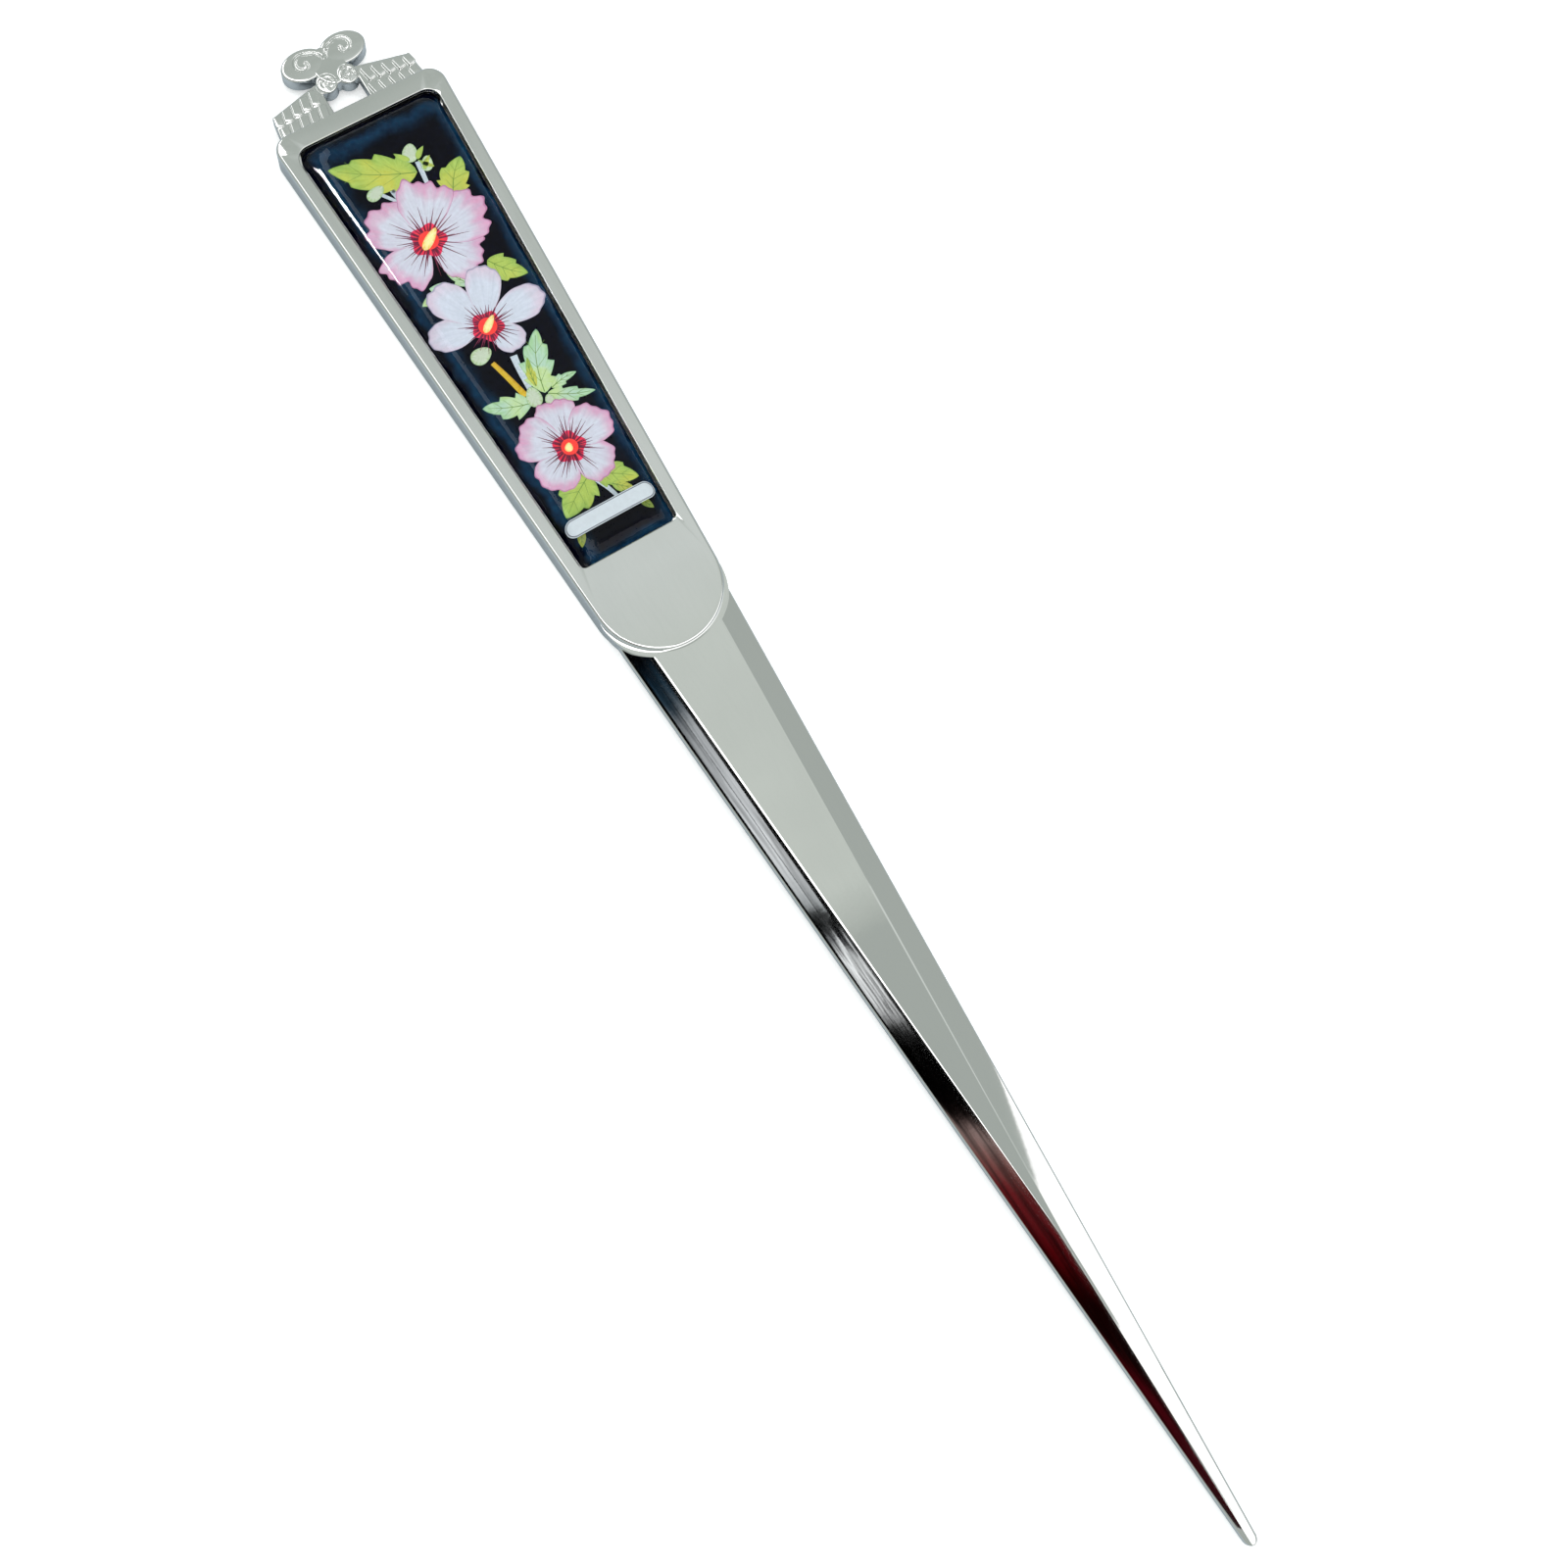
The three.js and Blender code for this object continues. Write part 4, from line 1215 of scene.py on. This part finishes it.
# %% Ink colours
# One entry per ink: its body, rim, streaks and outline, and what differs from the usual mix.
INKS = {
    "blush_petal_ink": (((218, 226, 238), (222, 166, 198), (196, 188, 210), (176, 112, 152)),
                        dict(rim_from=0.66, wander=0.5, streak_amount=0.45, line_amount=0.75)),
    "white_petal_ink": (((218, 227, 240), (222, 204, 222), (190, 198, 216), (150, 146, 172)),
                        dict(rim_from=0.72, streak_amount=0.4, line_amount=0.8)),
    "red_heart_ink": (((255, 74, 66), (240, 60, 96), (214, 40, 50), (226, 70, 110)), dict(streak_amount=0.3)),
    "stamen_ink": (((250, 240, 150), (240, 200, 70), (255, 255, 235), (215, 150, 50)),
                   dict(rim_from=0.45, streaks=20.0)),
    "leaf_ink": (((168, 192, 92), (146, 180, 88), (196, 218, 120), (120, 160, 74)),
                 dict(streak_amount=0.35, streaks=30.0, blush=(206, 200, 84))),
    "mint_leaf_ink": (((178, 212, 190), (160, 205, 150), (205, 228, 214), (120, 170, 140)),
                      dict(streak_amount=0.4, streaks=30.0, blush=(198, 222, 130))),
    "bud_ink": (((190, 206, 178), (160, 195, 130), (232, 238, 232), (110, 150, 100)),
                dict(rim_from=0.55, streaks=20.0)),
    "stem_ink": (((184, 200, 214), (186, 204, 214), (235, 240, 244), (150, 172, 180)),
                 dict(streaks=12.0, line_amount=0.3)),
    "orange_stem_ink": (((206, 172, 44), (190, 140, 40), (230, 200, 90), (150, 110, 40)),
                        dict(streaks=12.0, line_amount=0.4)),
    "vein_ink": (((106, 142, 70), (96, 130, 66), (140, 170, 90), (90, 120, 60)), dict(line_amount=0.0)),
}
inks = {name: ink_material(name, colours, **mix) for name, (colours, mix) in INKS.items()}
tree, shader = painted(hair_ink)
hair_grain = place_group(tree, grain, Scale=3500.0, Strength=0.8)[0]
matt(tree, shader, scaled(tree, screen_colour(96, 34, 56)[:3], hair_grain))
print("inks", len(inks) + 1)

# %% Finish the inks
printed_pieces = [ink.done(inks[name]) for ink, name in (
    (ruffled, "blush_petal_ink"), (smooth_petals, "white_petal_ink"), (hearts, "red_heart_ink"),
    (stamens, "stamen_ink"), (leaves, "leaf_ink"), (mint_leaves, "mint_leaf_ink"), (veins, "vein_ink"),
    (buds, "bud_ink"), (stems, "stem_ink"), (orange_stem, "orange_stem_ink"))]
printed_pieces += hair_pieces
for piece in printed_pieces:
    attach(piece, "root")
print("ink faces", sum(len(piece.data.polygons) for piece in printed_pieces))

# %% [markdown]
# ## Sheet, backing and adhesive
#
# These three keep their imported shapes and only get finishes. The sheet is black, and a blue band a few
# millimetres inside its edge, stronger on one side, is a painted sheen in its colour. The backing is a dark
# board, and the adhesive a dull foam that only shows in the thin gap round the insert.

# %% Painted edge sheen
# This group paints a sheen into the sheet's colour: a blue band just inside its edge, plus the sheet's fine
# flakes.
edge_sheen = effect_group("painted_edge_sheen", {"Half Width": 10.1, "Taper": 0.05, "Start": -33.1, "End": 33.1,
                                    "Band From": 1.2, "Band To": 4.2}, ["Glow", "Flakes"])
given = edge_sheen.nodes["in"].outputs
calc = partial(maths, edge_sheen)
spot = object_place(edge_sheen)
along, across, _ = split(edge_sheen, scaled(edge_sheen, spot, 1 / MM))
travelled = calc("SUBTRACT", along, given["Start"])
half_here = calc("SUBTRACT", given["Half Width"], calc("MULTIPLY", travelled, given["Taper"]))
to_left = calc("ADD", half_here, across)
to_right = calc("MULTIPLY_ADD", calc("SUBTRACT", half_here, across), 1.7, 0.6)
to_end = calc("MULTIPLY_ADD", calc("SUBTRACT", given["End"], along), 2.0, 1.0)
to_edge = calc("MINIMUM", calc("MINIMUM", to_left, to_right), calc("MINIMUM", travelled, to_end))
cloud = noisy(edge_sheen, spot, Scale=260.0, Detail=3.0)
to_edge = calc("MULTIPLY_ADD", calc("SUBTRACT", cloud, 0.5), 3.0, to_edge)
band = ranged(edge_sheen, to_edge, given["Band From"], given["Band To"], interpolation_type="SMOOTHSTEP",
              To_Min=1.0, To_Max=0.0)
edge_fade = ranged(edge_sheen, to_edge, 0.9, 2.2, interpolation_type="SMOOTHSTEP")
flakes = add_node(edge_sheen, "ShaderNodeTexVoronoi", Vector=spot, Scale=1500.0)
fill(edge_sheen, edge_sheen.nodes["out"], Glow=calc("MULTIPLY", band, edge_fade), Flakes=flakes.outputs["Distance"])

# %% Finishes of the carried layers
nacre_sheet = bpy.data.materials.new("black_nacre_sheet")
tree, shader = painted(nacre_sheet)
sheen_and_flakes = place_group(tree, edge_sheen)
flakes = sheen_and_flakes["Flakes"]
deep = mixed_colour(tree, flakes, screen_colour(0, 0, 4), screen_colour(4, 5, 18), amount=0.8)
# The blue here is the painted sheen of the edge band; the flakes are the sheet's own grain.
blue = mixed_colour(tree, flakes, screen_colour(8, 34, 58), screen_colour(16, 54, 78))
matt(tree, shader, mixed_colour(tree, sheen_and_flakes["Glow"], deep, blue, amount=0.8), roughness=0.5)

dark_board = bpy.data.materials.new("dark_board")
tree, shader = painted(dark_board)
board_grain = place_group(tree, grain, Scale=1800.0, Strength=0.9)[0]
board_marks = place_group(tree, wiping, Scale=90.0, Clean=0.45, Marked=0.7)
board_colour = scaled(tree, (0.012, 0.012, 0.014), board_grain)
fill(tree, shader, Base_Color=board_colour, Roughness=board_marks["Roughness"])

foam = bpy.data.materials.new("foam_adhesive")
tree, shader = painted(foam)
foam_cells = place_group(tree, grain, Scale=4200.0, Strength=0.5)[0]
fill(tree, shader, Base_Color=scaled(tree, (0.20, 0.19, 0.16), foam_cells), Roughness=0.85,
     Normal=bump_from(tree, foam_cells, 0.6, 0.05 * MM))
for node, material in (("printed_nacre_sheet", nacre_sheet), ("backing_plate", dark_board),
                       ("adhesive_sheet", foam)):
    carried = bpy.data.objects[node]
    carried.data.materials.clear()
    carried.data.materials.append(material)
print("carried layers finished")

# %% [markdown]
# ## The resin dome
#
# Clear resin is poured on the sheet until it stands up by its own surface tension: steep at the edge, nearly
# flat in the middle, and never quite even along its rim, which is what bends the window's reflection into a
# wavy white line. It is a stack of outlines, each further in, higher and rounder, whose heights follow the
# distance from the edge. Its base dips just under the sheet's top, so the resin wets the print without a film
# of air. Light that leaves the print must pass the glass, so for shadow rays it is plain transparent.

# %% The dome's shape
SHEET_INSET = 0.25
DOME_BASE = 3.19
DOME_WALL = 3.46
DOME_EDGE = 3.5
DOME_RISE = 1.5
DOME_SHOULDER = 2.3
DOME_DEPTH = 6.4
SHOULDER_SHARE = 0.84
UNEVEN = 0.085
UNEVEN_AT = 0.9
UNEVEN_START = 0.3
DOME_CORNER_STEPS = 18


def dome_height(inset):
    """How high the resin stands at a distance in from its edge."""
    shoulder = 1 - (1 - min(max(inset, 0) / DOME_SHOULDER, 1)) ** 2.5
    crown = 1 - (1 - min(max(inset, 0) / DOME_DEPTH, 1)) ** 2
    return DOME_EDGE + DOME_RISE * (SHOULDER_SHARE * shoulder + (1 - SHOULDER_SHARE) * crown)


def dome_wave(x, y):
    """The slow unevenness of the resin's rim, with a finer wave on it."""
    return noise.noise(Vector((x * 0.42, y * 0.42, 1.7))) + 0.6 * noise.noise(Vector((x * 1.1, y * 1.1, 5.1)))


dome_mesh = bmesh.new()
foot = panel_outline(SHEET_INSET, steps=DOME_CORNER_STEPS)
dome_rings = [(foot, DOME_BASE), (foot, DOME_WALL)]
shoulder_insets = np.linspace(0.03, DOME_SHOULDER, 22)
crown_insets = np.linspace(DOME_SHOULDER, DOME_DEPTH, 14)[1:]
for inset in np.concatenate((shoulder_insets, crown_insets)):
    ring = panel_outline(SHEET_INSET + inset, rounder=0.75, steps=DOME_CORNER_STEPS)
    near_edge = math.exp(-((inset - UNEVEN_AT) / UNEVEN_AT) ** 2)
    swing = min(inset / UNEVEN_START, 1)
    heights = [dome_height(inset) + UNEVEN * dome_wave(x, y) * near_edge * swing for x, y in ring]
    dome_rings.append((ring, heights))
dome_rows = add_rings(dome_mesh, dome_rings, cap_last=False)
inner_row = dome_rows[-1]
for i in range(len(inner_row) // 2 - 1):
    dome_mesh.faces.new((inner_row[i], inner_row[i + 1], inner_row[-2 - i], inner_row[-1 - i]))
dome = finished_object("poured_dome", dome_mesh)
for face in dome.data.polygons:
    face.use_smooth = True
print("dome rings", len(dome_rings), "top", round(dome_height(DOME_DEPTH), 2), "mm")

# %% Clear resin
resin = bpy.data.materials.new("poured_resin")
tree, shader = painted(resin)
rippled = place_group(tree, ripple, Wave_Size=260.0, Wave_Height=1.0, Peel_Size=1500.0, Peel_Height=0.06)
fill(tree, shader, Transmission_Weight=1.0, Metallic=0.0, Roughness=0.0, IOR=1.28, Specular_IOR_Level=0.2,
     Base_Color=(1.0, 1.0, 1.0, 1.0), Normal=bump_from(tree, rippled[0], 0.5, 0.02 * MM))
clear = add_node(tree, "ShaderNodeBsdfTransparent")
chosen = add_node(tree, "ShaderNodeMixShader")
rays = add_node(tree, "ShaderNodeLightPath").outputs
for source, target in zip((rays["Is Shadow Ray"], shader.outputs[0], clear.outputs[0]), chosen.inputs):
    wire(tree, source, target)
wire(tree, chosen.outputs[0], tree.nodes["Material Output"].inputs["Surface"])
dome.data.materials.append(resin)
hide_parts("resin_dome")
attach(dome, "root")

# %% The windows only shine on the resin
shiny = bpy.data.collections.new("shiny_resin")
shiny.objects.link(dome)
for lamp in window_lamps:
    lamp.light_linking.receiver_collection = shiny
    lamp.visible_diffuse = False
    lamp.visible_transmission = False

# %% [markdown]
# ## The sticker
#
# A small pill of white label stock stuck across the dome near the blade. It bends with the resin and keeps an
# even thickness. It is left blank, with the thin border line such stickers have.

# %% The sticker's shape
LABEL_X = 28.45
LABEL_HALF_LENGTH = 6.3
LABEL_HALF_WIDTH = 1.175
LABEL_THICKNESS = 0.12
LABEL_STEPS = 24
LABEL_RINGS = 14
LABEL_GAP = 0.02
LABEL_MIDDLE_SHARE = 0.02
SIDE_STEPS = 40
STIFF_INSET = 0.55


def resin_height(x, y):
    """The dome's height anywhere on the sheet, never lower than a stiff label can follow."""
    side = handle_half_width(x) - RIM_WIDTH - SHEET_INSET - abs(y)
    end = RECESS_HALF_LENGTH - SHEET_INSET - abs(x)
    return dome_height(max(min(side, end), STIFF_INSET))


straight_half = LABEL_HALF_LENGTH - LABEL_HALF_WIDTH
pill = np.array(rounded_outline([
    (LABEL_X + across * LABEL_HALF_WIDTH, along * LABEL_HALF_LENGTH, LABEL_HALF_WIDTH * 0.98)
    for across, along in ((-1, -1), (1, -1), (1, 1), (-1, 1))
], LABEL_STEPS))
side_y = np.linspace(-1, 1, SIDE_STEPS)[1:-1] * straight_half
quarter = LABEL_STEPS + 1
pill = np.concatenate((
    pill[:2 * quarter],
    np.column_stack((np.full(len(side_y), LABEL_X + LABEL_HALF_WIDTH), side_y)),
    pill[2 * quarter:],
    np.column_stack((np.full(len(side_y), LABEL_X - LABEL_HALF_WIDTH), side_y[::-1])),
))
spine_y = np.clip(pill[:, 1], -straight_half, straight_half)
spine_line = np.column_stack((np.full(len(pill), LABEL_X), spine_y))
label_mesh = bmesh.new()
label_map = label_mesh.loops.layers.uv.new("ink_map")
label_rings = []
outwards = np.linspace(LABEL_MIDDLE_SHARE, 1, LABEL_RINGS)
inwards = np.linspace(1, LABEL_MIDDLE_SHARE, LABEL_RINGS)
for lift, shares in ((LABEL_GAP, outwards), (LABEL_GAP + LABEL_THICKNESS, inwards)):
    for share in shares:
        ring = spine_line + (pill - spine_line) * share
        label_rings.append((ring, [resin_height(x, y) + lift for x, y in ring]))
label_rows = add_rings(label_mesh, label_rings)
label_mesh.verts.index_update()
share_of = {}
for row_number, row in enumerate(label_rows):
    share = row_number if row_number < LABEL_RINGS else 2 * LABEL_RINGS - 1 - row_number
    for vertex in row:
        share_of[vertex] = share / (LABEL_RINGS - 1)
for face in label_mesh.faces:
    for loop in face.loops:
        loop[label_map].uv = (0.5, share_of[loop.vert])
label = finished_object("blank_sticker", label_mesh)
for face in label.data.polygons:
    face.use_smooth = len(face.vertices) == 4
label.data.set_sharp_from_angle(angle=math.radians(40))
print("sticker", 2 * LABEL_HALF_LENGTH, "by", 2 * LABEL_HALF_WIDTH, "mm")

# %% Label stock
sticker_paper = bpy.data.materials.new("sticker_paper")
tree, shader = painted(sticker_paper)
_, outwards, _ = split(tree, map_place(tree))
from_border = maths(tree, "ABSOLUTE", maths(tree, "SUBTRACT", outwards, 0.87))
border = maths(tree, "LESS_THAN", from_border, 0.06)
fibre = place_group(tree, grain, Scale=1800.0, Strength=0.16)[0]
paper = scaled(tree, screen_colour(208, 216, 224)[:3], fibre)
fill(tree, shader, Base_Color=mixed_colour(tree, border, paper, screen_colour(70, 74, 84), amount=0.8),
     Normal=bump_from(tree, fibre, 0.3, 0.02 * MM), Roughness=0.5, Specular_IOR_Level=0.1)
label.data.materials.append(sticker_paper)
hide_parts("origin_label")
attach(label, "root")
